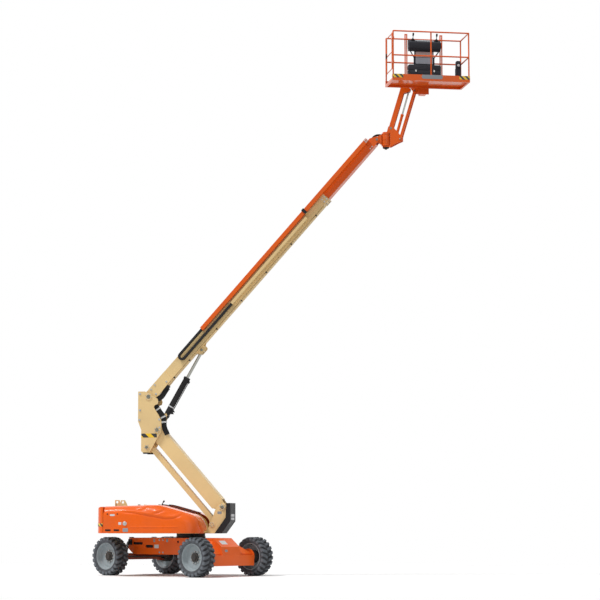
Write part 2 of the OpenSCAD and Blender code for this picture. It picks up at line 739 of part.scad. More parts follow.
module jib_barrel() {
  color(orange) on_jcyl() difference() {
    union() {
      translate([30, 0, 0]) rotate([0, 90, 0]) cylinder(r = 34, h = 580, $fn = fn_pin);
      translate([570, 0, 0]) rotate([0, 90, 0]) cylinder(r = 38, h = 40, $fn = fn_pin);
      pin(0, 0, 36, 80);
      pin(0, 0, 20, 156);
    }
    translate([60, 0, 0]) rotate([0, 90, 0]) cylinder(r = 20 + run_fit, h = 600, $fn = fn_pin);
  }
}

module jib_rod() {
  color(steel) on_jcyl() {
    translate([jcyl_l - 655, 0, 0]) rotate([0, 90, 0]) cylinder(r = 20, h = 645, $fn = fn_pin);
    pin(jcyl_l, 0, 30, 64);
  }
}

module platform_support() {
  kx = jib_ex + jlink_dx;
  kz = jib_ez + jlink_dz;
  side = [[jib_ex - 50, jib_ez], [jib_ex, jib_ez + 50], [jib_ex + 50, jib_ez + 20],
    [rot_x - 120, rot_z0 + rot_h], [rot_x, rot_z0 + rot_h],
    [rot_x, rot_z0], [kx - 45, kz - 40], [kx - 50, kz]];
  color(orange) difference() {
    union() {
      plates(side, 64, 78);
      translate([rot_x, 0, rot_z0]) cylinder(r = rot_r, h = rot_h, $fn = fn_pin);
    }
    translate([rot_x, 0, rot_z0 - 10]) cylinder(r = 40 + run_fit, h = rot_h + 20, $fn = fn_pin);
    pin(jib_ex, jib_ez, 25 + run_fit, 400);
    pin(kx, kz, 20 + run_fit, 400);
  }
}

module platform_floor() {
  color(orange) on_platform() {
    translate([-plat_l / 2, -rot_gap - plat_w, 0]) difference() {
      cube([plat_l, plat_w, floor_h]);
      translate([40, 40, -1]) cube([plat_l - 80, plat_w - 80, floor_h - 3]);
    }
    translate([-plat_l / 2, -rot_gap - plat_w, floor_h - 1]) difference() {
      cube([plat_l, plat_w, 90]);
      translate([toe_t, toe_t, -1]) cube([plat_l - 2 * toe_t, plat_w - 2 * toe_t, 100]);
      translate([-1, 60, 1]) cube([20, plat_w - 120, 100]);
    }
    for (z = [rot_z0 - floor_z - 26, rot_z0 - floor_z + rot_h + 6])
      translate([-75, -rot_gap, z]) cube([150, rot_gap + 60, 20]);
    translate([0, 0, rot_z0 - floor_z - 26]) cylinder(r = 40, h = rot_h + 52, $fn = fn_pin);
    translate([-130, -rot_gap - 1, rot_z0 - floor_z - 26]) cube([260, 17, rot_h + 52]);
  }
}

module guard_rails() {
  a = plat_l / 2 - rail_in;
  n = -rot_gap - plat_w + rail_in;
  f = -rot_gap - rail_in;
  t = plat_h - rail_d / 2;
  color(orange) on_platform() {
    for (x = [-a, 0, a]) bar([x, n, floor_h], [x, n, t], rail_d);
    for (x = [-a, a]) bar([x, f, floor_h], [x, f, t], rail_d);
    for (x = [-446, -404, 404, 446]) bar([x, f, floor_h], [x, f, plat_h + 110], 30);
    for (s = [-1, 1]) bar([s * 404, f, plat_h + 95], [s * 446, f, plat_h + 95], 24);
    for (z = [t, 600]) {
      bar([-a, n, z], [a, n, z], rail_d);
      bar([-a, f, z], [a, f, z], rail_d);
      bar([a, n, z], [a, f, z], rail_d);
    }
  }
}

module console() {
  a = plat_l / 2 - rail_in;
  back = -rot_gap - rail_in - rail_d / 2 - seat_gap;
  d = console_d;
  desk = [[0, 880], [40 - d, 880], [-d, 920], [-d, 1000], [40 - d, 1025], [-60, 1090], [0, 1090]];
  color(dark) on_platform() {
    translate([-380, back, 0]) rotate([90, 0, 90]) linear_extrude(760) polygon(desk);
    translate([-390, back - 140, 230]) cube([780, 140, 180]);
    translate([-230, back - 60, 380]) cube([460, 60, 520]);
    translate([a - rail_d / 2 - seat_gap - 120, back - 90, 170]) cube([120, 90 + rail_d / 2 + 5, 330]);
  }
}

module gate() {
  a = plat_l / 2 - rail_in;
  n = -rot_gap - plat_w + rail_in;
  w = plat_w - 2 * rail_in;
  top = plat_h - 54;
  color(orange) on_platform() translate([-a, n, 0]) {
    for (y = [120, w - 60]) bar([0, y, 286], [0, y, top + 14], 28);
    for (z = [300, 700, top]) bar([0, 120, z], [0, w - 60, z], 24);
    for (z = [420, plat_h - 200]) difference() {
      translate([-22, -22, z]) cube([44, 136, 40]);
      translate([0, 0, z - 1]) cylinder(r = rail_d / 2 + run_fit, h = 42, $fn = fn_pin);
    }
  }
}

chassis_frame();
fixed_axle();
steer_axle();
slew_ring();
tie_rod();
knuckle_left();
knuckle_right();
tyre_drive_left();
tyre_drive_right();
tyre_steer_left();
tyre_steer_right();
rim_drive_left();
rim_drive_right();
rim_steer_left();
rim_steer_right();
hub_drive_left();
hub_drive_right();
hub_steer_left();
hub_steer_right();
turntable_frame();
side_walls();
boom_tower();
lifting_lugs();
slew_race();
counterweights();
battery_packs();
front_guard();
hood_left();
hood_right();
lower_boom();
tension_link();
upright();
hose_bundle();
main_boom();
lift_rod();
lift_barrel();
fly_boom();
push_tube();
power_track();
jib_neck();
jib_yoke();
jib_arm();
jib_link();
jib_barrel();
jib_rod();
platform_support();
platform_floor();
guard_rails();
console();
gate();
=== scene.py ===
"""Dresses the articulating boom lift: paint, rubber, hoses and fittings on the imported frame."""

import json
import math

import bmesh
import bpy
import numpy as np
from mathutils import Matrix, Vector


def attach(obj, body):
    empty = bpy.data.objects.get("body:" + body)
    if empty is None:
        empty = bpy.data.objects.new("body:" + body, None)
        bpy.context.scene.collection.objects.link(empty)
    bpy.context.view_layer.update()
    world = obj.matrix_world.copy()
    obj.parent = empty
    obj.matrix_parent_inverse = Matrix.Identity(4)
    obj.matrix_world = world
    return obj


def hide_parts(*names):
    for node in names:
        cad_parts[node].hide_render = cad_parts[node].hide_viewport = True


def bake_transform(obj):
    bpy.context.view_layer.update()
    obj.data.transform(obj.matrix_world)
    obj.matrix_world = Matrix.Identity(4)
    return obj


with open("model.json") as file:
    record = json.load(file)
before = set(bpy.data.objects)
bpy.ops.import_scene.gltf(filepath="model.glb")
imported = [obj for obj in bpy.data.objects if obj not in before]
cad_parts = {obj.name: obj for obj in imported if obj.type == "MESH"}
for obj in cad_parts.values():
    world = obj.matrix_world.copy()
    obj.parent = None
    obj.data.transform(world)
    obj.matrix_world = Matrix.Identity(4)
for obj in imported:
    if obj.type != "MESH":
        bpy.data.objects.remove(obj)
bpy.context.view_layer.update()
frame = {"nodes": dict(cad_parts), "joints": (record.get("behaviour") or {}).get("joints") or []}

# View: a long lens stands far off near the ground and looks up along the raised boom.
# A pale round floor fades into a white backdrop. One broad soft key comes from the left, with a
# weaker fill from the camera's side and a faint rim from behind.
PHOTO_PX = 600
FOCAL_PX = 2089.0
CAMERA_AWAY = 50.0
CAMERA_HEIGHT = 1.3
CAMERA_PITCH = math.radians(6.03)
CAMERA_AZIMUTH = math.radians(11.0)
SWING_AXIS_PX = 191.0
back = Vector((math.sin(CAMERA_AZIMUTH), -math.cos(CAMERA_AZIMUTH), 0))
right = Vector((math.cos(CAMERA_AZIMUTH), math.sin(CAMERA_AZIMUTH), 0))
aside = (PHOTO_PX / 2 - SWING_AXIS_PX) / FOCAL_PX * CAMERA_AWAY * math.cos(CAMERA_PITCH)
lens = bpy.data.cameras.new("photo_camera")
lens.sensor_width = 36.0
lens.lens = FOCAL_PX / PHOTO_PX * lens.sensor_width
lens.clip_end = 400.0
camera = bpy.data.objects.new("photo_camera", lens)
camera.location = back * CAMERA_AWAY + right * aside + Vector((0, 0, CAMERA_HEIGHT))
ahead = -back * math.cos(CAMERA_PITCH) + Vector((0, 0, math.sin(CAMERA_PITCH)))
camera.rotation_mode = "QUATERNION"
camera.rotation_quaternion = ahead.to_track_quat("-Z", "Y")
bpy.context.scene.collection.objects.link(camera)
bpy.context.scene.camera = camera
bpy.context.scene.view_settings.view_transform = "Standard"


def sun(name, aim, strength, softness):
    """A far lamp that shines along aim, its disc softness degrees wide."""
    lamp = bpy.data.lights.new(name, "SUN")
    lamp.energy = strength
    lamp.angle = math.radians(softness)
    holder = bpy.data.objects.new(name, lamp)
    holder.rotation_mode = "QUATERNION"
    holder.rotation_quaternion = Vector(aim).to_track_quat("-Z", "Y")
    bpy.context.scene.collection.objects.link(holder)


sun("key_light", (0.46, 0.36, -1.0), 2.65, 14)
sun("fill_light", (-0.35, 0.85, -0.25), 0.62, 50)
sun("rim_light", (0.15, -0.8, -0.6), 0.35, 60)


def spread(t, value, to_low, to_high, low=0, high=1):
    """A value stretched straight from low..high to to_low..to_high, and held beyond both ends."""
    m = t.nodes.new("ShaderNodeMapRange")
    for key, number in zip(("From Min", "From Max", "To Min", "To Max"), (low, high, to_low, to_high)):
        m.inputs[key].default_value = number
    t.links.new(value, m.inputs["Value"])
    return m.outputs[0]


SKY_ON_OBJECT = 0.34
sky = bpy.data.worlds.new("studio")
bpy.context.scene.world = sky
sky.use_nodes = True
tree = sky.node_tree
tree.nodes.clear()
rays = tree.nodes.new("ShaderNodeLightPath")
seen, shiny = tree.nodes.new("ShaderNodeMath"), tree.nodes.new("ShaderNodeMath")
seen.operation = shiny.operation = "MAXIMUM"
glow = tree.nodes.new("ShaderNodeBackground")
glow.inputs["Color"].default_value = (1, 1, 1, 1)
out = tree.nodes.new("ShaderNodeOutputWorld")
tree.links.new(rays.outputs["Is Glossy Ray"], shiny.inputs[0])
tree.links.new(rays.outputs["Is Transmission Ray"], shiny.inputs[1])
tree.links.new(rays.outputs["Is Camera Ray"], seen.inputs[0])
tree.links.new(shiny.outputs[0], seen.inputs[1])
tree.links.new(spread(tree, seen.outputs[0], SKY_ON_OBJECT, 1), glow.inputs["Strength"])
tree.links.new(glow.outputs[0], out.inputs["Surface"])

FLOOR_R = 16.0
FLOOR_SINK = 0.0005
turn = np.linspace(0, 2 * math.pi, 96, endpoint=False)
rim_points = np.stack([FLOOR_R * np.cos(turn), FLOOR_R * np.sin(turn), 0 * turn - FLOOR_SINK], -1)
floor_mesh = bpy.data.meshes.new("floor")
floor_mesh.from_pydata(rim_points.tolist(), [], [list(range(len(turn)))])
floor = bpy.data.objects.new("floor", floor_mesh)
bpy.context.scene.collection.objects.link(floor)


def fresh(name):
    """A new material: itself, its node tree, its shader's sockets and its Object coordinates."""
    stuff = bpy.data.materials.new(name)
    stuff.use_nodes = True
    t = stuff.node_tree
    where = t.nodes.new("ShaderNodeTexCoord").outputs["Object"]
    return stuff, t, t.nodes["Principled BSDF"].inputs, where


pale, tree, shell, place = fresh("pale_floor")
shell["Base Color"].default_value = (0.93, 0.93, 0.93, 1)
shell["Roughness"].default_value = 0.9
shell["Specular IOR Level"].default_value = 0.1
far = tree.nodes.new("ShaderNodeVectorMath")
far.operation = "LENGTH"
tree.links.new(place, far.inputs[0])
fade = spread(tree, far.outputs["Value"], 1, 0, FLOOR_R * 0.3, FLOOR_R * 0.98)
fade.node.interpolation_type = "SMOOTHSTEP"
tree.links.new(fade, shell["Alpha"])
floor_mesh.materials.append(pale)

# Chassis: a welded plate box on a fixed axle box and a steer axle beam, all in orange enamel.
# The enamel is sprayed, with an orange-peel skin, and gathers road dust low down.
ORANGE = (0.78, 0.112, 0.004)
DUST = (0.42, 0.33, 0.25)
CHIP = (0.05, 0.045, 0.04)
BUMP_DEEP = 0.002


def noise(t, where, scale, detail=2, rough=0.5):
    """Grey clouds on the coordinates where, scale of them to the metre."""
    n = t.nodes.new("ShaderNodeTexNoise")
    for key, number in (("Scale", scale), ("Detail", detail), ("Roughness", rough)):
        n.inputs[key].default_value = number
    t.links.new(where, n.inputs["Vector"])
    return n.outputs["Fac"]


def mixed(t, amount, first, second):
    """Two colours, each three numbers or a socket: first + amount * (second - first)."""
    m = t.nodes.new("ShaderNodeMix")
    m.data_type = "RGBA"
    t.links.new(amount, m.inputs[0])
    for socket, value in ((m.inputs[6], first), (m.inputs[7], second)):
        if isinstance(value, tuple):
            socket.default_value = (*value, 1)
        else:
            t.links.new(value, socket)
    return m.outputs[2]


def grained(t, face, height, strength):
    """Tilts the shader's normal by the slope of height, BUMP_DEEP at full strength."""
    bump = t.nodes.new("ShaderNodeBump")
    bump.inputs["Strength"].default_value = strength
    bump.inputs["Distance"].default_value = BUMP_DEEP
    t.links.new(height, bump.inputs["Height"])
    t.links.new(bump.outputs[0], face["Normal"])


def enamel(name, colour, gloss=0.32, dusty=0.0, dust_top=1.1, chips=0.0, shine=0.25, metal=0.0):
    """Sprayed paint on Object coordinates: a slow fade of the colour, a fine peel in the bump,
    blotchy gloss, dust that thins out with height up to dust_top, and small dark chips."""
    paint, t, face, where = fresh(name)
    worn = tuple(min(1.0, c * 0.86 + 0.012) for c in colour)
    skin = mixed(t, spread(t, noise(t, where, 0.9, 4, 0.55), 0, 1, 0.38, 0.68), colour, worn)
    if chips:
        spots = spread(t, noise(t, where, 23, 3, 0.7), 0, 0.75, 0.74 - chips, 0.76 - chips)
        skin = mixed(t, spots, skin, CHIP)
    if dusty:
        height = t.nodes.new("ShaderNodeSeparateXYZ")
        t.links.new(where, height.inputs[0])
        patch = t.nodes.new("ShaderNodeMath")
        patch.operation = "MULTIPLY"
        t.links.new(spread(t, height.outputs["Z"], dusty, 0, 0.2, dust_top), patch.inputs[0])
        t.links.new(spread(t, noise(t, where, 6, 6, 0.65), 0.15, 1, 0.35, 0.7), patch.inputs[1])
        skin = mixed(t, patch.outputs[0], skin, DUST)
    t.links.new(skin, face["Base Color"])
    blotches = spread(t, noise(t, where, 3.5, 5, 0.55), gloss - 0.06, gloss + 0.12, 0.3, 0.7)
    t.links.new(blotches, face["Roughness"])
    face["Specular IOR Level"].default_value = shine
    face["Metallic"].default_value = metal
    grained(t, face, noise(t, where, 160, 2, 0.55), 0.06)
    return paint


def dress(material, *names, bevel=0.004):
    """Gives CAD nodes a material and rounds their sharp edges by a weld and a narrow bevel."""
    for name in names:
        node = frame["nodes"][name]
        node.data.materials.clear()
        node.data.materials.append(material)
        if bevel:
            joined = node.modifiers.new("joined", "WELD")
            joined.merge_threshold = 0.00005
            edge = node.modifiers.new("edge", "BEVEL")
            edge.width = bevel
            edge.segments = 2
            edge.limit_method = "ANGLE"
            edge.angle_limit = math.radians(40)


orange = enamel("orange_enamel", ORANGE, gloss=0.3, shine=0.14)
lacquer = orange.node_tree.nodes["Principled BSDF"].inputs
lacquer["Coat Weight"].default_value = 0.5
lacquer["Coat IOR"].default_value = 1.24
lacquer["Coat Roughness"].default_value = 0.09
chassis_orange = enamel("chassis_enamel", ORANGE, gloss=0.34, dusty=0.04, dust_top=0.9, chips=0.03)
dress(chassis_orange, "chassis_frame", "fixed_axle")
# The steer axle's orange is darkened to a painted shade, as if it lay in the chassis's shadow, and is dusted low
# down.
dress(enamel("painted_shade_dusty_enamel", (0.30, 0.042, 0.006), gloss=0.5, dusty=0.12), "steer_axle")


def shaped(name, grids, material, body, crease=38, smooth=True):
    """One mesh from grids of points (rows, columns, 3), every cell a quad. A grid is
    (points, close_rows, close_columns): a closed side joins its last line to its first,
    and a tube with open ends gets a flat cap on its first and last ring."""
    points, corners, sizes, first = [], [], [], 0
    for cells, close_rows, close_columns in grids:
        rows, columns = cells.shape[:2]
        index = first + np.arange(rows * columns).reshape(rows, columns)
        first += rows * columns
        points.append(cells.reshape(-1, 3))
        ends = [index[0][::-1], index[-1]] if close_columns and not close_rows else []
        index = np.vstack([index, index[:1]]) if close_rows else index
        index = np.hstack([index, index[:, :1]]) if close_columns else index
        quads = np.stack([index[:-1, :-1], index[:-1, 1:], index[1:, 1:], index[1:, :-1]], -1)
        corners += [quads.ravel(), *ends]
        sizes += [np.full(quads.size // 4, 4), *[np.array([len(e)]) for e in ends]]
    points, corners, sizes = np.concatenate(points), np.concatenate(corners), np.concatenate(sizes)
    mesh = bpy.data.meshes.new(name)
    mesh.vertices.add(len(points))
    mesh.vertices.foreach_set("co", points.astype(np.float32).ravel())
    mesh.loops.add(len(corners))
    mesh.loops.foreach_set("vertex_index", corners.astype(np.int32))
    mesh.polygons.add(len(sizes))
    mesh.polygons.foreach_set("loop_start", (np.cumsum(sizes) - sizes).astype(np.int32))
    mesh.update(calc_edges=True)
    faces = bmesh.new()
    faces.from_mesh(mesh)
    bmesh.ops.recalc_face_normals(faces, faces=faces.faces)
    faces.to_mesh(mesh)
    faces.free()
    if smooth:
        mesh.shade_smooth()
        mesh.set_sharp_from_angle(angle=math.radians(crease))
    mesh.materials.append(material)
    piece = bpy.data.objects.new(name, mesh)
    bpy.context.scene.collection.objects.link(piece)
    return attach(piece, body) if body else piece


def unit(v):
    """The vector scaled to length 1, along the last axis."""
    v = np.asarray(v, float)
    return v / np.linalg.norm(v, axis=-1, keepdims=True)


def basis(axis, hint=(0.31, 0.17, 0.93)):
    """Two unit vectors square to axis and to each other."""
    axis = unit(axis)
    across = unit(np.cross(hint, axis))
    return across, np.cross(axis, across)


def turned(profile, centre, axis, steps=32, hollow=False):
    """A profile of (radius, height) rows turned round axis through centre: point = centre
    + radius * (cos, sin) across the axis + height along it. A hollow one joins its ends as a ring."""
    across, over = basis(axis)
    angle = np.linspace(0, 2 * math.pi, steps, endpoint=False)
    ring = np.cos(angle)[:, None] * across + np.sin(angle)[:, None] * over
    r, h = np.array(profile, float).T
    return centre + r[:, None, None] * ring + h[:, None, None] * unit(axis), hollow, True


def hex_heads(places, axis, flat, tall):
    """Hexagon bolt heads with washers, one low turned grid for each place: six sides on a small
    bolt, twelve on a large one."""
    w = flat * 0.5
    profile = ((w * 1.55, 0), (w * 1.55, tall * 0.22), (w * 1.15, tall * 0.22), (w * 1.15, tall * 0.9),
               (w * 0.95, tall), (w * 0.2, tall))
    return [turned(profile, np.asarray(p, float), axis, 6 if flat < 0.02 else 12) for p in places]


def rounded_plate(centre, across, over, wide, tall, corner, layers):
    """A rounded rectangle stacked in rings: each layer (inset, height) is the outline drawn in by
    its inset and lifted by its height along across x over."""
    inset, height = np.array(layers, float).T[..., None]
    quarter = np.linspace(0, math.pi / 2, 6)
    angle = np.concatenate([quarter + k * math.pi / 2 for k in range(4)])
    right_left, top_bottom = np.repeat((1, -1, -1, 1), 6), np.repeat((1, 1, -1, -1), 6)
    r = np.maximum(corner - inset, 0.0004)
    u = right_left * (wide / 2 - inset - r) + r * np.cos(angle)
    v = top_bottom * (tall / 2 - inset - r) + r * np.sin(angle)
    across, over = unit(across), unit(over)
    lift = height[..., None] * np.cross(across, over)
    return np.asarray(centre) + u[..., None] * across + v[..., None] * over + lift, False, True


def slab(wall, draw, top):
    """Layers of a plate: straight sides up to wall, then an edge drawn in by draw up to top."""
    return (0, 0), (0, wall), (draw, top)


def carried(path, section, over):
    """A closed section carried along a path: a section point (a, b) stands a along the side and b
    along the top, both square to the path's own direction."""
    ahead = unit(np.gradient(path, axis=0))
    side = unit(np.cross(ahead, over))
    a, b = np.array(section, float).T[..., None]
    return path[:, None] + a * side[:, None] + b * np.cross(side, ahead)[:, None], False, True


def round_section(radius, sides=10):
    """A circle of section points."""
    angle = np.linspace(0, 2 * math.pi, sides, endpoint=False)
    return radius * np.stack([np.cos(angle), np.sin(angle)], -1)


def eased(points, steps=8):
    """A smooth path through points: a Catmull-Rom cubic between each two, cut in equal steps."""
    points = np.asarray(points, float)
    p = np.vstack([2 * points[0] - points[1], points, 2 * points[-1] - points[-2]])
    a, b, c, d = p[:-3], p[1:-2], p[2:-1], p[3:]
    u = np.linspace(0, 1, steps, endpoint=False)[:, None, None]
    curve = 0.5 * (2 * b + (c - a) * u + (2 * a - 5 * b + 4 * c - d) * u**2 + (3 * b - a - 3 * c + d) * u**3)
    return np.vstack([curve.transpose(1, 0, 2).reshape(-1, 3), points[-1:]])


pins = {j["name"]: np.array(j.get("pos_m", (0, 0, 0)), float) for j in frame["joints"]}
axes = {j["name"]: np.array(j["axis"], float) for j in frame["joints"]}
UP = np.array((0.0, 0.0, 1.0))
ACROSS = axes["drive_left_spin"]
ALONG = np.cross(ACROSS, UP)


def on_chassis(x, y, z):
    """A place in the chassis's own frame, which stands turned against the boom."""
    return x * ALONG + y * ACROSS + z * UP


zinc = enamel("zinc_plate", (0.42, 0.42, 0.41), gloss=0.38, metal=0.85)
pale_plate = enamel("blank_pale_plate", (0.60, 0.61, 0.62), gloss=0.42)
grey_plate = enamel("blank_grey_plate", (0.27, 0.29, 0.31), gloss=0.42)
black = enamel("black_enamel", (0.014, 0.013, 0.014), gloss=0.48, shine=0.14)
SHEET = slab(0.0016, 0.001, 0.0024)
FRAME_HALF = 0.4302
SLOT_SHADE_HALF = 0.409
SHADED_SLOTS = ((-1.35, 0.76, 0.37, 0.1), (-0.96, 0.69, 0.3, 0.11), (-0.008, 0.8, 0.1, 0.1))
NOSE_SLOPE = -0.7953 * ALONG + 0.6062 * UP
BUMPER_SLOPE = -0.206 * ALONG + 0.9785 * UP
bolts, plates, pads, brackets_and_slot_shade = [], [], [], []
for side in (-1, 1):
    flank = -side * ALONG
    rows = [on_chassis(x, side * FRAME_HALF, z) for x in (-0.62, -0.5, 0.42, 0.56) for z in (0.55, 0.845)]
    bolts += hex_heads(rows, side * ACROSS, 0.03, 0.018)
    plates.append(rounded_plate(on_chassis(-0.72, side * FRAME_HALF, 0.69), flank, UP, 0.15, 0.085, 0.012, SHEET))
    pads += [rounded_plate(on_chassis(x, side * FRAME_HALF, 0.83), flank, UP, 0.062, 0.075, 0.01, SHEET)
             for x in (-0.80, -0.367)]
    brackets_and_slot_shade += [rounded_plate(on_chassis(-1.6, side * FRAME_HALF, 0.79), flank, UP, 0.12, 0.13, 0.012,
                               slab(0.022, 0.006, 0.03)),
                 rounded_plate(on_chassis(-1.62, side * (FRAME_HALF - 0.045), 0.893), ALONG, ACROSS,
                               0.09, 0.1, 0.01, slab(0.012, 0.003, 0.016))]
    # Black plates set just inside the frame's slots are painted shade in the slot openings.
    brackets_and_slot_shade += [rounded_plate(on_chassis(x, side * SLOT_SHADE_HALF, z), flank, UP, wide, tall, 0.02,
                               slab(0.004, 0.001, 0.005)) for x, z, wide, tall in SHADED_SLOTS]
plates.append(rounded_plate(on_chassis(1.1575, -0.11, 0.7912), ACROSS, NOSE_SLOPE, 0.2, 0.14, 0.012, SHEET))
pads.append(rounded_plate(on_chassis(1.3104, -0.17, 0.6), ACROSS, BUMPER_SLOPE, 0.1, 0.055, 0.026, SHEET))
shaped("chassis_bolts", bolts, zinc, "chassis")
shaped("chassis_blank_plates", plates, pale_plate, "chassis")
shaped("chassis_grey_plates", pads, grey_plate, "chassis")
# The black hose brackets, together with the painted shade plates in the slots.
shaped("steer_hose_brackets_and_slot_shade", brackets_and_slot_shade, black, "chassis")

# Steering: forged knuckles on kingpins and their tie rod, and the slewing ring, in black enamel
# under road dust. Three rubber hoses on each side drop from a bracket to the steer axle.
low_black = enamel("dusty_black_enamel", (0.016, 0.015, 0.015), gloss=0.5, dusty=0.16, dust_top=0.9)
dress(low_black, "knuckle_left", "knuckle_right", "tie_rod", "slew_ring", "slew_race", bevel=0.003)


def rubber(name, bare, dusted, attribute=None):
    """Rubber in two greys with a fine grain. The dusted one's share is 0.55 of a noise less 0.1,
    or plus a painted attribute."""
    stuff, t, face, where = fresh(name)
    amount = t.nodes.new("ShaderNodeMath")
    amount.operation = "MULTIPLY_ADD"
    amount.use_clamp = True
    amount.inputs[1].default_value = 0.55
    amount.inputs[2].default_value = -0.1
    t.links.new(noise(t, where, 9, 6), amount.inputs[0])
    if attribute:
        painted = t.nodes.new("ShaderNodeAttribute")
        painted.attribute_name = attribute
        t.links.new(painted.outputs["Fac"], amount.inputs[2])
    t.links.new(mixed(t, amount.outputs[0], bare, dusted), face["Base Color"])
    grained(t, face, noise(t, where, 130), 0.25)
    face["Roughness"].default_value = 0.82
    face["Specular IOR Level"].default_value = 0.25
    return stuff


hose_black = rubber("hose_rubber", (0.012, 0.012, 0.013), (0.035, 0.034, 0.033))
HOSE_DROP = ((0, 0.455, 0.80), (0, 0.50, 0.785), (-0.01, 0.53, 0.70), (-0.04, 0.53, 0.60), (-0.07, 0.52, 0.515))
steer_hoses = [carried(eased([on_chassis(x + dx, side * y, z) for dx, y, z in HOSE_DROP]),
                       round_section(0.011), ALONG) for side in (-1, 1) for x in (-1.635, -1.6, -1.565)]
shaped("steer_hoses", steer_hoses, hose_black, "chassis")

# Wheels: foam-filled rough-terrain tyres with bar lugs on both shoulders, pressed on dished
# steel rims that are bolted to dark hubs. Dust greys the lugs most and the sidewalls less; the bare
# black left between the lugs is a painted shade in the gaps.
TYRE_R = 0.457
TYRE_HALF_W = 0.1775
LUGS = 22
LUG_DEEP = 0.034
LUG_FOOT_R = 0.372
STEPS_A_LUG = 22


def traced(points, steps):
    """A straight-sided path through points, cut finely and at its corners, and the length run at each cut."""
    points = np.asarray(points, float)
    reach = np.concatenate([[0], np.cumsum(np.linalg.norm(np.diff(points, axis=0), axis=1))])
    fine = np.unique(np.concatenate([np.linspace(0, reach[-1], steps), reach]))
    return np.stack([np.interp(fine, reach, axis) for axis in points.T], -1), fine


def tyre_points(centre, axis):
    """A carcass section turned round the axle; each bar lug lifts the surface along the section's
    normal where a slanted band over tread and shoulder is on: radius = carcass + depth * band.
    The sidewall's foot curls over the rim's lip as a guard."""
    half = np.array(((0.3165, 0.138), (0.339, 0.1388), (0.3396, 0.1528), (0.321, 0.1530), (0.3185, 0.1562),
                     (0.323, 0.1625), (0.345, 0.1688), (0.375, 0.1718), (0.395, 0.1722), (0.4085, 0.1715),
                     (0.4135, 0.168), (0.423, 0.150), (0.423, 0.06)))
    section, run = traced(np.vstack([half * (1, -1), half[::-1]]), 58)
    base, width = section.T
    lean = unit(np.gradient(section, run, axis=0))
    out_r, out_w = lean[:, 1], -lean[:, 0]
    angle = np.linspace(0, 2 * math.pi, LUGS * STEPS_A_LUG, endpoint=False)
    a, w = np.meshgrid(angle, width)
    reach_in = np.abs(w) / TYRE_HALF_W
    pitch = 2 * math.pi / LUGS
    slant = np.where(w > 0, 0.0, 0.5) * pitch + 0.55 * pitch * np.clip(1 - reach_in, 0, 1)
    phase = np.abs((a - slant) / pitch % 1 - 0.5)
    wide = 0.30 - 0.05 * np.clip(1 - reach_in, 0, 1)
    band = np.clip((wide - phase) / 0.045 + 0.5, 0, 1)
    inner = np.clip((reach_in - 0.1) / 0.08, 0, 1)
    outer = np.clip((base[:, None] - LUG_FOOT_R) / 0.012, 0, 1)
    lift = band * inner * outer * LUG_DEEP
    radius = np.minimum(base[:, None] + lift * out_r[:, None], TYRE_R)
    height = np.clip(w + lift * out_w[:, None] * 0.35, -TYRE_HALF_W, TYRE_HALF_W)
    across, over = basis(axis)
    ring = np.cos(a)[..., None] * across + np.sin(a)[..., None] * over
    return centre + radius[..., None] * ring + height[..., None] * unit(axis), band * inner * outer


def bolt_ring(centre, axis, radius, count, flat, tall):
    """Bolt heads evenly round a circle about the axis."""
    across, over = basis(axis)
    a = np.linspace(0, 2 * math.pi, count, endpoint=False)[:, None]
    return hex_heads(centre + radius * (np.cos(a) * across + np.sin(a) * over), axis, flat, tall)


tyre_rubber = rubber("tyre_rubber", (0.022, 0.02, 0.021), (0.195, 0.22, 0.25), "dust_and_gap_shade")
rim_grey = enamel("rim_enamel", (0.30, 0.345, 0.365), gloss=0.28, dusty=0.06, dust_top=0.9)
WHEEL_NUTS = 10
NUT_CIRCLE = 0.135
NUT_SEAT = 0.0245
for end in ("drive", "steer"):
    for hand, side in (("left", 1), ("right", -1)):
        name = f"{end}_{hand}"
        body = f"wheel_{name}"
        centre, outward = pins[f"{name}_spin"], side * ACROSS
        points, lugs = tyre_points(centre, outward)
        tyre = shaped(f"lugged_tyre_{name}", [(points, True, True)], tyre_rubber, body)
        dust_and_gap_shade = tyre.data.attributes.new("dust_and_gap_shade", "FLOAT", "POINT")
        radius = np.linalg.norm(np.cross(points - centre, outward), axis=-1)
        sidewall = np.clip((0.43 - radius) / 0.03, 0, 1)
        # Lugs and sidewalls take dust; the bare black left between the lugs is a painted shade in the gaps.
        dust_and_gap_shade.data.foreach_set("value", (0.2 * sidewall - 0.22 + 0.34 * lugs).astype(np.float32).ravel())
        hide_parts(f"tyre_{name}")
        dress(rim_grey, f"rim_{name}", bevel=0)
        dress(low_black, f"hub_{name}", bevel=0)
        nuts = bolt_ring(centre + NUT_SEAT * outward, outward, NUT_CIRCLE, WHEEL_NUTS, 0.03, 0.022)
        shaped(f"wheel_nuts_{name}", nuts, zinc, body)

# Turntable: a deck with side walls and a boom tower, welded from plate, in cream enamel.
# The tower's pins are held by bolted bosses, and black battery packs fill the sides.
CREAM = (0.78, 0.565, 0.27)
cream = enamel("cream_enamel", CREAM, gloss=0.38)
dress(cream, "turntable_frame", "side_walls", "boom_tower", "lifting_lugs")
dress(low_black, "battery_packs")
LEFT = np.array((0.0, 1.0, 0.0))
FORE = np.array((1.0, 0.0, 0.0))


def pin_ends(centre, half, radius, proud=0.011):
    """A chamfered pin end with a centre hole on both sides of the middle plane."""
    profile = ((radius, 0), (radius, proud * 0.6), (radius * 0.86, proud), (radius * 0.3, proud),
               (radius * 0.24, proud * 0.5), (radius * 0.05, proud * 0.5))
    return [turned(profile, centre + side * half * LEFT, side * LEFT) for side in (-1, 1)]


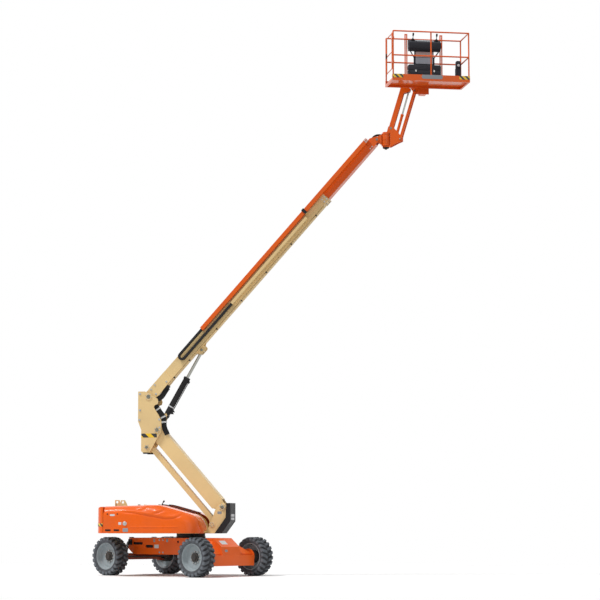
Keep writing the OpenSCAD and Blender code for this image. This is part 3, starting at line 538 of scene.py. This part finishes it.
lower_pin, link_foot = pins["lower_lift"], pins["link_turn"]
LOWER_BOSS = 0.228
LINK_BOSS = 0.224
tower_bolts = [grid for side in (-1, 1) for grid in
               bolt_ring(lower_pin + side * LOWER_BOSS * LEFT, side * LEFT, 0.065, 6, 0.018, 0.011)
               + bolt_ring(link_foot + side * LINK_BOSS * LEFT, side * LEFT, 0.042, 5, 0.018, 0.011)]
shaped("tower_bolts", tower_bolts, zinc, "turntable")
TOWER_SIDE = 0.2152
tower_plates = [rounded_plate(lower_pin + (-0.07, side * TOWER_SIDE, -0.135), -side * FORE, UP,
                              0.1, 0.06, 0.01, SHEET) for side in (-1, 1)]
shaped("tower_blank_plates", tower_plates, grey_plate, "turntable")

# Front guard: a black steel plate, bent and bolted to the deck ahead of the tower. Two blank pale
# reflectors are stuck on its front.
dress(black, "front_guard", bevel=0.006)
GUARD_FRONT = 1.0202
shaped("guard_reflectors", [rounded_plate((GUARD_FRONT, 0, z), LEFT, UP, 0.34, 0.058, 0.008, SHEET)
                            for z in (1.345, 1.425)], pale_plate, "turntable")

# Counterweights: two cast tail slabs in orange enamel, rounded off behind, with a strip of
# black and yellow tape round each outer corner.
dress(orange, "counterweights", bevel=0.02)
TAPE_BLACK = (0.014, 0.013, 0.013)
TAPE_YELLOW = (0.83, 0.53, 0.02)


def hazard(name, lean, pitch):
    """Tape in two colours: black where the fraction of (place . lean / pitch) is under a half."""
    tape, t, face, where = fresh(name)
    along = t.nodes.new("ShaderNodeVectorMath")
    along.operation = "DOT_PRODUCT"
    along.inputs[1].default_value = tuple(unit(lean) / pitch)
    part, lit = t.nodes.new("ShaderNodeMath"), t.nodes.new("ShaderNodeMath")
    part.operation, lit.operation = "FRACT", "GREATER_THAN"
    lit.inputs[1].default_value = 0.5
    t.links.new(where, along.inputs[0])
    t.links.new(along.outputs["Value"], part.inputs[0])
    t.links.new(part.outputs[0], lit.inputs[0])
    t.links.new(mixed(t, lit.outputs[0], TAPE_BLACK, TAPE_YELLOW), face["Base Color"])
    t.links.new(spread(t, noise(t, where, 14, 5), 0.3, 0.55), face["Roughness"])
    return tape


TAIL_X = -1.862
TAIL_HALF = 1.09
TAIL_TAPE_UP = 1.2
TAIL_CORNER = ((-0.002, 0), (-0.06, -0.025), (-0.12, -0.09), (-0.17, -0.2))
TAPE_SECTION = np.array(((-0.002, -0.036), (0.0035, -0.036), (0.0035, 0.036), (-0.002, 0.036)))
tapes = [carried(traced([(TAIL_X + dx, side * (TAIL_HALF + dy), TAIL_TAPE_UP) for dx, dy in TAIL_CORNER], 24)[0],
                 TAPE_SECTION * (side, 1), UP) for side in (-1, 1)]
shaped("tail_tape", tapes, hazard("tail_tape", (1, 0, 1), 0.085), "turntable", smooth=False)

# Hoods: two moulded covers in orange enamel, hinged along the trough and swung up at the side.
# Each carries vents with black grilles, a filler cap, blank plates, buffers and a rubber seal.
HOOD_HALF = 1.09
HOOD_FOOT = 1.008
HOOD_IN = 0.284
HOOD_TAIL = -1.855
HOOD_NOSE = 0.458
SHOULDER = 0.23
FALL = 0.2836
CREST_SOFT = 0.016
NOSE_START = 0.12
NOSE_POWER = 2.6
PLAN_START = -0.06
BELT_UP = 1.15
WALL = 0.008


def hood_top(x):
    """Height of the hood's crest: a slow rise and a straight fall under a soft minimum, then a
    superellipse down to the foot at the nose."""
    rise, fall = 1.672 + 0.03 * (x + 0.6), 1.655 - FALL * (x + 0.49)
    crest = -CREST_SOFT * np.log(np.exp(-rise / CREST_SOFT) + np.exp(-fall / CREST_SOFT))
    nose = np.clip((x - NOSE_START) / (HOOD_NOSE - NOSE_START), 0, 1)
    return HOOD_FOOT + (crest - HOOD_FOOT) * (1 - nose**NOSE_POWER) ** (1 / NOSE_POWER)


def hood_half(x):
    """Half-width of the hood: straight along the side, then a superellipse in to the trough."""
    nose = np.clip((x - PLAN_START) / (HOOD_NOSE - PLAN_START), 0, 1)
    return HOOD_IN + (HOOD_HALF - HOOD_IN) * (1 - nose**4) ** 0.25


def hood_side(x, z):
    """Half-width at a height: the side drawn in by the quarter circle of the shoulder."""
    rise = np.clip((z - hood_top(x) + SHOULDER) / SHOULDER, 0, 1)
    return hood_half(x) - SHOULDER * (1 - np.sqrt(1 - rise**2))


SWEEPS = ((0.013, ((-1.45, 1.505), (-1.1, 1.468), (-0.7, 1.40), (-0.35, 1.337), (-0.16, 1.345),
                   (0.04, 1.425))),
          (0.010, ((-1.08, 1.535), (-0.93, 1.555), (-0.76, 1.60))),
          (0.011, ((-0.72, 1.438), (-0.54, 1.475), (-0.36, 1.545))))


def hood_sweeps(x, z):
    """Lift of the swept ribs: under each sweep line a narrow furrow, over it a broad swell, both
    Gaussian in the height over the line and faded at its ends, and one narrow belt low down."""
    ends = np.clip((x + 1.28) / 0.12, 0, 1) * np.clip((0.0 - x) / 0.12, 0, 1)
    lift = 0.009 * np.exp(-(((z - BELT_UP) / 0.013) ** 2)) * ends
    for deep, line in SWEEPS:
        run, height = np.array(line).T
        over = z - np.interp(x, run, height)
        ends = np.clip((x - run[0]) / 0.14, 0, 1) * np.clip((run[-1] - x) / 0.07, 0, 1)
        swell, furrow = np.exp(-(((over - 0.05) / 0.034) ** 2)), np.exp(-((over / 0.017) ** 2))
        lift = lift + ends * deep * (swell - 1.1 * furrow)
    return lift


def hood_skin(side):
    """Grids of one hood: at each station a flat top from the trough, a quarter ellipse over the
    shoulder and a straight side, lifted by the ribs along its normal; and the flat tail wall."""
    arc = np.linspace(0, math.pi / 2, 30)
    nose = NOSE_START + (HOOD_NOSE - NOSE_START) * np.sin(arc[1:])
    x = np.concatenate([np.linspace(HOOD_TAIL, NOSE_START, 116), nose])[:, None]
    x = np.minimum(x, HOOD_NOSE - 0.0015)
    half, top = hood_half(x), hood_top(x)
    deep = np.minimum(SHOULDER, (top - HOOD_FOOT) * 0.6)
    wide = np.minimum(SHOULDER, (half - HOOD_IN) * 0.6)
    flat, fall = np.linspace(0, 1, 10)[:-1], np.linspace(0, 1, 56)[1:]
    y = np.hstack([HOOD_IN + flat * (half - wide - HOOD_IN), half - wide + wide * np.sin(arc), half + 0 * fall])
    z = np.hstack([top + 0 * flat, top - deep + deep * np.cos(arc), top - deep - fall * (top - deep - HOOD_FOOT)])
    shell = np.stack([np.broadcast_to(x, y.shape), side * y, z], -1)
    normal = unit(np.cross(np.gradient(shell, axis=1), np.gradient(shell, axis=0)) + 1e-12)
    normal = np.where((normal * (0, side, 1)).sum(-1, keepdims=True) < 0, -normal, normal)
    shell = shell + hood_sweeps(shell[..., 0], shell[..., 2])[..., None] * normal
    edge = shell[0, :len(flat) + len(arc)]
    rise, foot = np.linspace(0, 1, 8)[:, None], HOOD_FOOT + 0.03
    tail = np.stack([edge[:, 0] + 0 * rise, edge[:, 1] + 0 * rise, foot + rise * (edge[:, 2] - foot)], -1)
    return [(shell, False, False), (tail, False, False)]


VENTS = (-1.735, -1.525)
BUFFER = ((0.015, -0.004), (0.015, 0.006), (0.01, 0.01), (0.002, 0.01))
FILLER = ((0.05, 0), (0.05, 0.005), (0.043, 0.008), (0.04, 0.008), (0.038, 0.02), (0.033, 0.024), (0.012, 0.024),
          (0.009, 0.02), (0.002, 0.02))
SEAL_RUN = (-0.62, -0.49, -0.3, -0.1, 0.08, 0.16)
SEAL = ((-0.024, -0.002), (0.024, -0.002), (0.024, 0.014), (0.012, 0.022), (-0.012, 0.022), (-0.024, 0.014))
for hand, side in (("left", 1), ("right", -1)):
    lid, out = f"hood_{hand}", side * LEFT
    flank = -side * FORE
    skin = shaped(f"hood_skin_{hand}", hood_skin(side), orange, lid, crease=50)
    wall = skin.modifiers.new("wall", "SOLIDIFY")
    wall.thickness = WALL
    wall.offset = -1
    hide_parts(lid)
    hinges = [rounded_plate((x - 0.012, side * 0.306, 1.658), LEFT, UP, 0.05, 0.05, 0.012, ((0, 0), (0, 0.024)))
              for x in (-1.2, -0.7)]
    shaped(f"hood_hinges_{hand}", hinges, black, lid)

    def on_hood(x, z, proud=0.0002):
        """A place on the hood's outer side."""
        return np.array((x, side * (hood_side(x, z) + proud), z))

    vents = [rounded_plate(on_hood(x, 1.078), flank, UP, 0.135, 0.04, 0.008, slab(0.002, 0.001, 0.003))
             for x in VENTS]
    slats = [rounded_plate(on_hood(x, z, 0.003), flank, UP, 0.122, 0.005, 0.0024, slab(0.003, 0.0012, 0.005))
             for x in VENTS for z in (1.067, 1.078, 1.089)]
    buffers = [turned(BUFFER, on_hood(x, 1.455), out, 16) for x in (-1.75, -1.508)]
    shaped(f"vents_{hand}", vents + slats + buffers, black, lid)
    shaped(f"filler_cap_{hand}", [turned(FILLER, on_hood(-1.327, 1.234), out)], zinc, lid)
    grey_blank = rounded_plate(on_hood(-1.31, 1.082), flank, UP, 0.13, 0.086, 0.012, SHEET)
    shaped(f"hood_grey_plate_{hand}", [grey_blank], grey_plate, lid)
    blanks = [rounded_plate(on_hood(-1.445, 1.234), flank, UP, 0.07, 0.062, 0.01, SHEET),
              rounded_plate(on_hood(-1.629, 1.43), flank, UP, 0.12, 0.045, 0.02, SHEET)]
    shaped(f"hood_blank_plate_{hand}", blanks, pale_plate, lid)
    edge = eased([(x, side * 0.31, hood_top(x)) for x in SEAL_RUN])
    shaped(f"hood_seal_{hand}", [carried(edge, SEAL, UP)], hose_black, lid)
KNOB = ((0.003, 0), (0.014, 0.003), (0.021, 0.018), (0.02, 0.036), (0.012, 0.05), (0.002, 0.053))
lever = eased([(-0.605, -0.42, 1.655), (-0.60, -0.42, 1.69), (-0.565, -0.42, 1.745)])
shaped("hood_lever", [carried(lever, round_section(0.012), LEFT),
                      turned(KNOB, lever[-3], lever[-1] - lever[-3], 18)], black, "hood_right")

# Lower boom, tension link and upright: welded plate boxes in cream enamel that keep the upright
# level. Chamfered pins join them, a striped band warns at the pinch, and pads stop the upright.
dress(cream, "lower_boom", "tension_link", "upright")
upper_pin, main_pin = pins["upright_level"], pins["main_lift"]
link_head = upper_pin + link_foot - lower_pin
greased = enamel("greased_pin", (0.2, 0.2, 0.165), gloss=0.3, metal=0.6)
shaped("lower_boom_pins", pin_ends(lower_pin, 0.2352, 0.044) + pin_ends(upper_pin, 0.2302, 0.044, 0.004),
       greased, "lower_boom")
shaped("tension_link_pins", pin_ends(link_head, 0.2302, 0.034), greased, "tension_link")
UPRIGHT_SIDE = 0.2102
KEEPER_SIDE = 0.2222
FRAME_BOLTS = ((-0.44, 0.235), (0.05, 0.245), (0.055, 0.05), (-0.43, 0.47), (-0.43, 0.86))
bands, keepers, pads = [], [], []
for side in (-1, 1):
    flank, out = -side * FORE, side * LEFT
    bands.append(rounded_plate(upper_pin + (-0.199, side * UPRIGHT_SIDE, -0.135), flank, UP,
                               0.385, 0.095, 0.002, SHEET))
    for place, ring, count in ((upper_pin, 0.062, 6), (link_head, 0.049, 5), (main_pin, 0.068, 6)):
        keepers += bolt_ring(place + side * KEEPER_SIDE * LEFT, out, ring, count, 0.016, 0.01)
    keepers += hex_heads([upper_pin + (x, side * UPRIGHT_SIDE, z) for x, z in FRAME_BOLTS], out, 0.036, 0.016)
    pads.append(rounded_plate(link_head + (-0.015, side * 0.2, -0.1275), FORE, -LEFT, 0.15, 0.045, 0.008,
                              slab(0.024, 0.006, 0.032)))
shaped("upright_tape", bands, hazard("upright_tape", (1, 0, 1), 0.19), "upright")
shaped("upright_bolts", keepers, zinc, "upright")
shaped("upright_pads", pads, hose_black, "upright")

# Hose bundle: eight black hydraulic hoses in two rows of four. They leave the lower boom's end, are
# clamped to the upright and loop slackly past the main pin to a bracket under the main boom.
HOSE_R = 0.014
HOSE_PITCH = 0.03
HOSE_ROW = -0.1495
CLIMB = ((0.152, 0.145), (0.154, 0.18), (0.152, 0.225), (0.142, 0.285), (0.105, 0.355), (0.04, 0.44),
         (-0.03, 0.545))
SLACK = ((-0.03, 0.545), (-0.062, 0.612), (-0.05, 0.685), (0.012, 0.745), (0.085, 0.80), (0.135, 0.875),
         (0.18, 0.95), (0.225, 1.01))
ROOT = ((0.235, -0.115), (0.214, -0.06), (0.182, 0.005), (0.16, 0.075), (0.152, 0.145))


def bundle(points, y_start, y_end):
    """Eight hoses in two rows of four, each the bundle's path set off in its plane and across it;
    and that path."""
    y = np.linspace(y_start, y_end, len(points))
    path = eased([upper_pin + (x, aside, z) for (x, z), aside in zip(points, y)])
    top = np.cross(unit(np.gradient(path, axis=0)), LEFT)
    return [carried(path + (k // 4 - 0.5) * HOSE_PITCH * LEFT + (k % 4 - 1.5) * HOSE_PITCH * top,
                    round_section(HOSE_R), LEFT) for k in range(8)], path


def clamp(path, row, deep=0.034):
    """A rounded strap round the bundle, square to the path at one of its rows."""
    ahead = unit(path[row + 1] - path[row - 1])
    return rounded_plate(path[row] - ahead * deep / 2, LEFT, unit(np.cross(ahead, LEFT)), 0.072, 0.135, 0.02,
                         slab(deep, 0.003, deep + 0.003))


hoses, path = bundle(CLIMB, HOSE_ROW, HOSE_ROW)
climbing = shaped("upright_hoses", hoses, hose_black, "upright")
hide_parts("hose_bundle")
straps = [clamp(path, row) for row in (9, 26, 44)]
straps.append(rounded_plate(upper_pin + (0.09, -0.16, 0.18), FORE, UP, 0.09, 0.045, 0.006,
                            slab(0.03, 0.003, 0.0302)))
shaped("hose_clamps", straps, zinc, "upright")
hoses, path = bundle(ROOT, HOSE_ROW, HOSE_ROW)
rooted = shaped("lower_boom_hoses", hoses, hose_black, None)
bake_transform(rooted)
hoses, path = bundle(SLACK, HOSE_ROW, -0.085)
looped = shaped("main_boom_hoses", hoses, hose_black, None)
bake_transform(looped)

# Main boom: a long cream box beam with a collar at its mouth. Bolts hold the wear pads in the
# collar, plates double the lift cylinder's eye, two painted pipes run under the beam on black
# clamps, and a bracket takes the hoses over.
dress(cream, "main_boom")
shaped("main_boom_pins", pin_ends(main_pin, 0.2162, 0.048, 0.014), greased, "main_boom")
BOOM = axes["telescope"]
BOOM_TOP = np.cross(BOOM, LEFT)


def on_boom(along, aside, up):
    """A place in the main boom's own frame, from its pivot."""
    return main_pin + along * BOOM + aside * LEFT + up * BOOM_TOP


COLLAR_ROWS = (6.28, 6.36)
ROOT_BOLTS = ((0.16, 0.08), (0.30, 0.09), (0.16, -0.08), (0.55, -0.075))
collar = []
for side in (-1, 1):
    collar += hex_heads([on_boom(s, side * 0.1512, v) for s in COLLAR_ROWS for v in (-0.085, 0.0, 0.085)
                         if side > 0 or v <= 0], side * LEFT, 0.028, 0.014)
    collar += hex_heads([on_boom(s, y, side * 0.1422) for s in COLLAR_ROWS for y in (-0.08, 0.08)],
                        side * BOOM_TOP, 0.028, 0.014)
    collar += hex_heads([on_boom(s, side * 0.1542, v) for s, v in ROOT_BOLTS], side * LEFT, 0.03, 0.015)
shaped("boom_bolts", collar, zinc, "main_boom")
PIPES = (-0.124, -0.097)
PIPE_UP = -0.147
BOOM_UNDER = -0.1308
pipes = [carried(np.linspace(on_boom(0.5, y, PIPE_UP), on_boom(6.2, y, PIPE_UP), 24), round_section(0.0115), LEFT)
         for y in PIPES]
shaped("boom_pipes", pipes, cream, "main_boom")
pipe_clamps = [rounded_plate(on_boom(s, sum(PIPES) / 2, BOOM_UNDER), BOOM, -LEFT, 0.03, 0.07, 0.006,
                             slab(0.03, 0.004, 0.034)) for s in (0.75, 1.3, 2.3, 3.2, 4.1, 5.0, 5.9)]
hose_bracket = rounded_plate(on_boom(0.47, -0.085, BOOM_UNDER), BOOM, -LEFT, 0.09, 0.11, 0.012,
                             slab(0.07, 0.006, 0.078))
guide_pad = rounded_plate(on_boom(5.795, -0.2762, 0.104), BOOM, BOOM_TOP, 0.074, 0.14, 0.01,
                          slab(0.005, 0.003, 0.008))
shaped("boom_pipe_clamps", [*pipe_clamps, hose_bracket, guide_pad], black, "main_boom")
lift_eye = pins["lift_rod_turn"]
doublers = [rounded_plate(lift_eye + side * 0.0842 * LEFT, BOOM, -side * np.cross(LEFT, BOOM), 0.23, 0.13, 0.05,
                          slab(0.01, 0.002, 0.012)) for side in (-1, 1)]
shaped("lift_eye_doublers", doublers, cream, "main_boom")

# Lift cylinder: a black barrel with a ported base and a pale band, and a hard-chromed rod.
# A feed pipe runs from the valve block along the barrel to its gland.
chrome, tree, steel, place = fresh("chromed_rod")
steel["Metallic"].default_value = 1.0
steel["Base Color"].default_value = (0.34, 0.34, 0.31, 1)
tree.links.new(spread(tree, noise(tree, place, 30, 4), 0.1, 0.28), steel["Roughness"])
dress(chrome, "lift_rod", bevel=0)
dress(black, "lift_barrel", bevel=0.003)
LIFT = -axes["lift_barrel_slide"]
LIFT_TOP = np.cross(LIFT, LEFT)
lift_foot = upper_pin + (0.166, 0, 0.341)


def on_lift(along, aside, up):
    """A place in the lift cylinder's own frame, from its foot."""
    return lift_foot + along * LIFT + aside * LEFT + up * LIFT_TOP


BAND = ((0.0701, 0), (0.0725, 0.002), (0.0725, 0.028), (0.0701, 0.03))
shaped("lift_band", [turned(BAND, on_lift(0.235, 0, 0), LIFT, hollow=True)], pale_plate, "lift_barrel")
UNION = ((0.018, 0), (0.018, 0.012), (0.013, 0.014), (0.013, 0.03), (0.002, 0.03))
FEED_UP = -0.086
port = [rounded_plate(on_lift(0.15, 0, -0.062), LIFT, -LEFT, 0.11, 0.085, 0.012, slab(0.03, 0.01, 0.045)),
        rounded_plate(on_lift(0.965, 0, -0.066), LIFT, -LEFT, 0.06, 0.06, 0.01, slab(0.03, 0.008, 0.04)),
        *[turned(UNION, on_lift(0.15 + d, 0, -0.1065), -LIFT_TOP, 12) for d in (-0.025, 0.028)],
        carried(np.linspace(on_lift(0.19, 0, FEED_UP), on_lift(0.95, 0, FEED_UP), 8), round_section(0.009), LEFT)]
shaped("lift_ports", port, black, "lift_barrel")
shaped("lift_rod_pins", pin_ends(lift_eye, 0.1002, 0.031, 0.008), greased, "lift_rod")

# Fly boom and hose track: an orange box beam that slides in the main boom, with a push tube beside
# it that draws a black link track. Bolts hold the tube's bracket and the beam's wear pads.
dress(orange, "fly_boom", "push_tube")
track_black = rubber("track_plastic", (0.016, 0.016, 0.017), (0.04, 0.04, 0.04))
dress(track_black, "power_track", bevel=0.003)
neck_pin = pins["neck_level"]
fly_end = float(np.dot(neck_pin - main_pin, BOOM)) - 0.095
fly_bolts = hex_heads([on_boom(fly_end - d, -0.2602, v) for d in (0.125, 0.085) for v in (0.08, 0.128)],
                      -LEFT, 0.022, 0.012)
for side in (-1, 1):
    fly_bolts += hex_heads([on_boom(fly_end - d, side * 0.1182, v) for d in (0.17, 0.11)
                            for v in (-0.07, 0.0, 0.07) if side > 0 or v < 0], side * LEFT, 0.022, 0.012)
shaped("fly_bolts", fly_bolts, zinc, "fly")

# Jib: a neck kept level by the boom, a rotator yoke, a channel arm with two link bars and a
# cylinder, welded and in orange enamel, and the cylinder's chromed rod. Black hoses loop over the
# neck and run up inside the channel.
dress(orange, "jib_neck", "jib_yoke", "jib_arm", "jib_link", "jib_barrel")
dress(chrome, "jib_rod", bevel=0)
shaped("neck_pins", pin_ends(neck_pin, 0.1182, 0.029, 0.01), greased, "neck")
jib_pin, jib_end = pins["jib_lift"], pins["platform_level"]
JIB = unit(jib_end - jib_pin)
JIB_TOP = np.cross(JIB, LEFT)
jib_pins = [grid for place in (jib_pin, jib_end) for grid in pin_ends(place, 0.0802, 0.027, 0.0014)]
shaped("jib_pins", jib_pins, greased, "jib_arm")
link_pin = pins["jib_link_turn"]
link_pins = [grid for place in (link_pin, link_pin + jib_end - jib_pin)
             for grid in pin_ends(place, 0.1022, 0.02, 0.007)]
shaped("jib_link_pins", link_pins, greased, "jib_link")
jib_turn = pins["jib_swing"]
RING = ((0.1001, 0), (0.106, 0.003), (0.106, 0.022), (0.1001, 0.025))
neck_rings = [turned(RING, jib_turn + h * UP, UP, 40, hollow=True) for h in (-0.149, -0.0125, 0.124)]
shaped("neck_rings", neck_rings, orange, "neck")
CAP = ((0.075, 0), (0.075, 0.018), (0.06, 0.03), (0.03, 0.032), (0.028, 0.05), (0.003, 0.052))
shaped("yoke_cap", [turned(CAP, jib_turn - 0.1822 * UP, -UP, 28)], black, "jib_yoke")
NECK_LOOP = ((-0.183, -0.055), (-0.158, -0.012), (-0.13, 0.035), (-0.09, 0.083), (-0.03, 0.115), (0.03, 0.122),
             (0.075, 0.12), (0.1, 0.108))
loops = [carried(eased([neck_pin + (x, y, z) for x, z in NECK_LOOP]), round_section(0.012), LEFT)
         for y in (-0.06, -0.02, 0.02, 0.06)]
neck_hoses = shaped("neck_hoses", loops, hose_black, None)
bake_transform(neck_hoses)
ARM_RUN = ((0.05, 0.03), (0.3, 0.032), (0.6, 0.032), (0.9, 0.032), (1.04, 0.02), (1.1, -0.02), (1.14, -0.05),
           (1.17, -0.03))
arm_hoses = [carried(eased([jib_pin + s * JIB + y * LEFT + v * JIB_TOP for s, v in ARM_RUN]),
                     round_section(0.011), LEFT) for y in (-0.035, -0.012, 0.012, 0.035)]
shaped("jib_hoses", arm_hoses, hose_black, "jib_arm")

# Platform: a floor tray with toe boards and tube rails in orange enamel on a rotator, laid with
# grey tread plate, with striped tape at its near corners and a blank plate between them.
dress(orange, "platform_support", "platform_floor", "guard_rails", "gate")
PLATFORM_YAW = math.radians(20.1)
EAST = np.array((math.cos(PLATFORM_YAW), math.sin(PLATFORM_YAW), 0))
NORTH = np.array((-math.sin(PLATFORM_YAW), math.cos(PLATFORM_YAW), 0))
floor_z = jib_end[2] - 0.245
rotator = pins["platform_turn"]


def on_platform(x, y, z):
    """A place in the platform's own frame: along it, into it (less than 0) and up from its underside."""
    return np.array((rotator[0], rotator[1], floor_z)) + x * EAST + y * NORTH + z * UP


NEAR_FACE = -1.0202
tapes = [rounded_plate(on_platform(x, NEAR_FACE, 0.105), EAST, UP, 0.25, 0.085, 0.002, SHEET)
         for x in (-0.795, 0.795)]
shaped("toe_board_tape", tapes, hazard("toe_board_tape", EAST + UP, 0.092), "platform")
toe_blank = rounded_plate(on_platform(0.02, NEAR_FACE, 0.1), EAST, UP, 0.5, 0.095, 0.04, SHEET)
shaped("toe_board_blank_plate", [toe_blank], grey_plate, "platform")
tread_grey = enamel("tread_plate", (0.2, 0.2, 0.2), gloss=0.42, metal=0.5)
TREAD_PITCH = 0.05
TREAD_DEEP = 0.003


def tread_plate(x0, x1, y0, y1, z):
    """A sheet whose height adds a small lens in each square of a chequer, turned a quarter from one
    to the next: height = TREAD_DEEP * max(0, 1 - (long / 0.42)^2 - (short / 0.15)^2), both as
    shares of the pitch."""
    u, v = np.meshgrid(np.linspace(x0, x1, 240), np.linspace(y0, y1, 104))
    a, b = u / TREAD_PITCH, v / TREAD_PITCH
    odd = (np.floor(a) + np.floor(b)) % 2
    p, q = a % 1 - 0.5, b % 1 - 0.5
    long, short = np.where(odd, p, q), np.where(odd, q, p)
    lens_up = TREAD_DEEP * np.clip(1 - (long / 0.42) ** 2 - (short / 0.15) ** 2, 0, 1)
    top = np.stack([u, v, z + TREAD_DEEP + lens_up], -1)
    rim = np.concatenate([top[:1], top, top[-1:]])
    rim[0, :, 2] = rim[-1, :, 2] = z
    rim = np.concatenate([rim[:, :1], rim, rim[:, -1:]], 1)
    rim[:, 0, 2] = rim[:, -1, 2] = z
    return on_platform(rim[..., :1], rim[..., 1:2], rim[..., 2:])


shaped("tread_plate", [(tread_plate(-0.87, 0.87, -0.96, -0.215, 0.0602), False, False)], tread_grey, "platform")
ROTATOR_RING = ((0.0901, 0), (0.096, 0.003), (0.096, 0.02), (0.0901, 0.023))
rotator_rings = [turned(ROTATOR_RING, rotator + h * UP, UP, 36, hollow=True) for h in (-0.118, -0.012, 0.094)]
shaped("rotator_rings", rotator_rings, orange, "platform_support")
latch = rounded_plate(on_platform(-0.9167, -0.28, 0.72), -NORTH, UP, 0.05, 0.12, 0.012, slab(0.012, 0.005, 0.018))
shaped("gate_latch", [latch], black, "gate")

# Console: a black moulded control desk hung on the far rails, with two joysticks in rubber boots,
# a row of toggles, blank pale panels below, a tool box and a foot-switch box at the end.
plastic = rubber("console_plastic", (0.022, 0.023, 0.03), (0.05, 0.052, 0.06))
dress(plastic, "console", bevel=0.008)
CONSOLE_BACK = -0.1986
DESK_UP = unit(-0.5855 * NORTH + 0.811 * UP)
DESK_IN = unit(0.811 * NORTH + 0.5855 * UP)
COWL_RISE = 0.065
desk_mid = (CONSOLE_BACK - 0.105, 1.0577 + COWL_RISE)
COWL = ((0.0, 0.93), (-0.193, 0.93), (-0.193, 1.065), (-0.15, 1.09), (-0.06, 1.155), (0.0, 1.155))
cowl_path = np.linspace(on_platform(-0.385, CONSOLE_BACK, 0), on_platform(0.385, CONSOLE_BACK, 0), 12)
cowl_grid = carried(cowl_path, [(-y, z) for y, z in COWL], UP)
cowl = shaped("desk_cowl", [cowl_grid], plastic, "platform", smooth=False)
softened = cowl.modifiers.new("softened", "BEVEL")
softened.width = 0.012
softened.segments = 3
softened.limit_method = "ANGLE"
BELLOWS = ((0.044, 0), (0.044, 0.008), (0.036, 0.010), (0.039, 0.016), (0.031, 0.022), (0.034, 0.028),
           (0.026, 0.034), (0.028, 0.040), (0.019, 0.046), (0.012, 0.052), (0.002, 0.052))
STICK = ((0.009, 0.05), (0.009, 0.105), (0.016, 0.11), (0.021, 0.13), (0.021, 0.165), (0.016, 0.18),
         (0.003, 0.184))
TOGGLE = ((0.011, 0.0026), (0.011, 0.008), (0.006, 0.011), (0.004, 0.03), (0.001, 0.031))
seats = [on_platform(x, *desk_mid) for x in (-0.285, 0.285)]
shaped("joystick_boots", [turned(BELLOWS, seat, DESK_UP, 20) for seat in seats], hose_black, "platform")
shaped("joysticks", [turned(STICK, seat, unit(DESK_UP + 0.35 * UP), 16) for seat in seats], black, "platform")
toggles = [turned(TOGGLE, on_platform(x, *desk_mid), DESK_UP, 10) for x in np.linspace(-0.19, 0.19, 9)]
shaped("toggles", toggles, zinc, "platform")
shaped("desk_panel", [rounded_plate(on_platform(0, *desk_mid), EAST, DESK_IN, 0.45, 0.075, 0.01, SHEET)],
       grey_plate, "platform")
rose_plate = enamel("blank_rose_plate", (0.56, 0.42, 0.40), gloss=0.45)
blue_plate = enamel("blank_slate_plate", (0.40, 0.43, 0.49), gloss=0.45)
MID_FACE = CONSOLE_BACK - 0.0602
for name, paint, up, tall in (("upper_panel", rose_plate, 0.80, 0.13), ("lower_panel", blue_plate, 0.65, 0.15)):
    panel = rounded_plate(on_platform(0, MID_FACE, up), EAST, UP, 0.42, tall, 0.01, SHEET)
    shaped(name, [panel], paint, "platform")
BRACE = ((0.355, -0.1, 0.885), (0.24, -0.045, 0.72), (0.24, -0.045, 0.42))
braces = [carried(traced([on_platform(side * x, CONSOLE_BACK + y, z) for x, y, z in BRACE], 12)[0],
                  round_section(0.014), NORTH) for side in (-1, 1)]
BOX_FACE = CONSOLE_BACK - 0.1402
box_front = rounded_plate(on_platform(0, BOX_FACE, 0.33), EAST, UP, 0.74, 0.13, 0.02, slab(0.006, 0.004, 0.009))
box_lid = rounded_plate(on_platform(0, CONSOLE_BACK - 0.07, 0.4102), EAST, NORTH, 0.79, 0.145, 0.03,
                        ((0.006, 0), (0, 0.006), (0, 0.10), (0.012, 0.125), (0.03, 0.132)))
END_BOX = 0.8264
end_housing = rounded_plate(on_platform(END_BOX, CONSOLE_BACK - 0.045, 0.5002), EAST, NORTH, 0.118, 0.1, 0.02,
                            ((0.004, 0), (0, 0.004), (0, 0.14), (0.01, 0.165), (0.03, 0.175)))
shaped("console_braces", [*braces, box_front, box_lid, end_housing], plastic, "platform")
latches = [rounded_plate(on_platform(x, BOX_FACE - 0.009, 0.385), EAST, UP, 0.035, 0.05, 0.006,
                         slab(0.006, 0.003, 0.009)) for x in (-0.22, 0.22)]
shaped("box_latches", latches, zinc, "platform")
SPOT = ((0.032, 0), (0.032, 0.003), (0.026, 0.006), (0.002, 0.006))
spot = turned(SPOT, on_platform(END_BOX, CONSOLE_BACK - 0.0952, 0.56), -NORTH, 24)
shaped("end_box_spot", [spot], pale_plate, "platform")
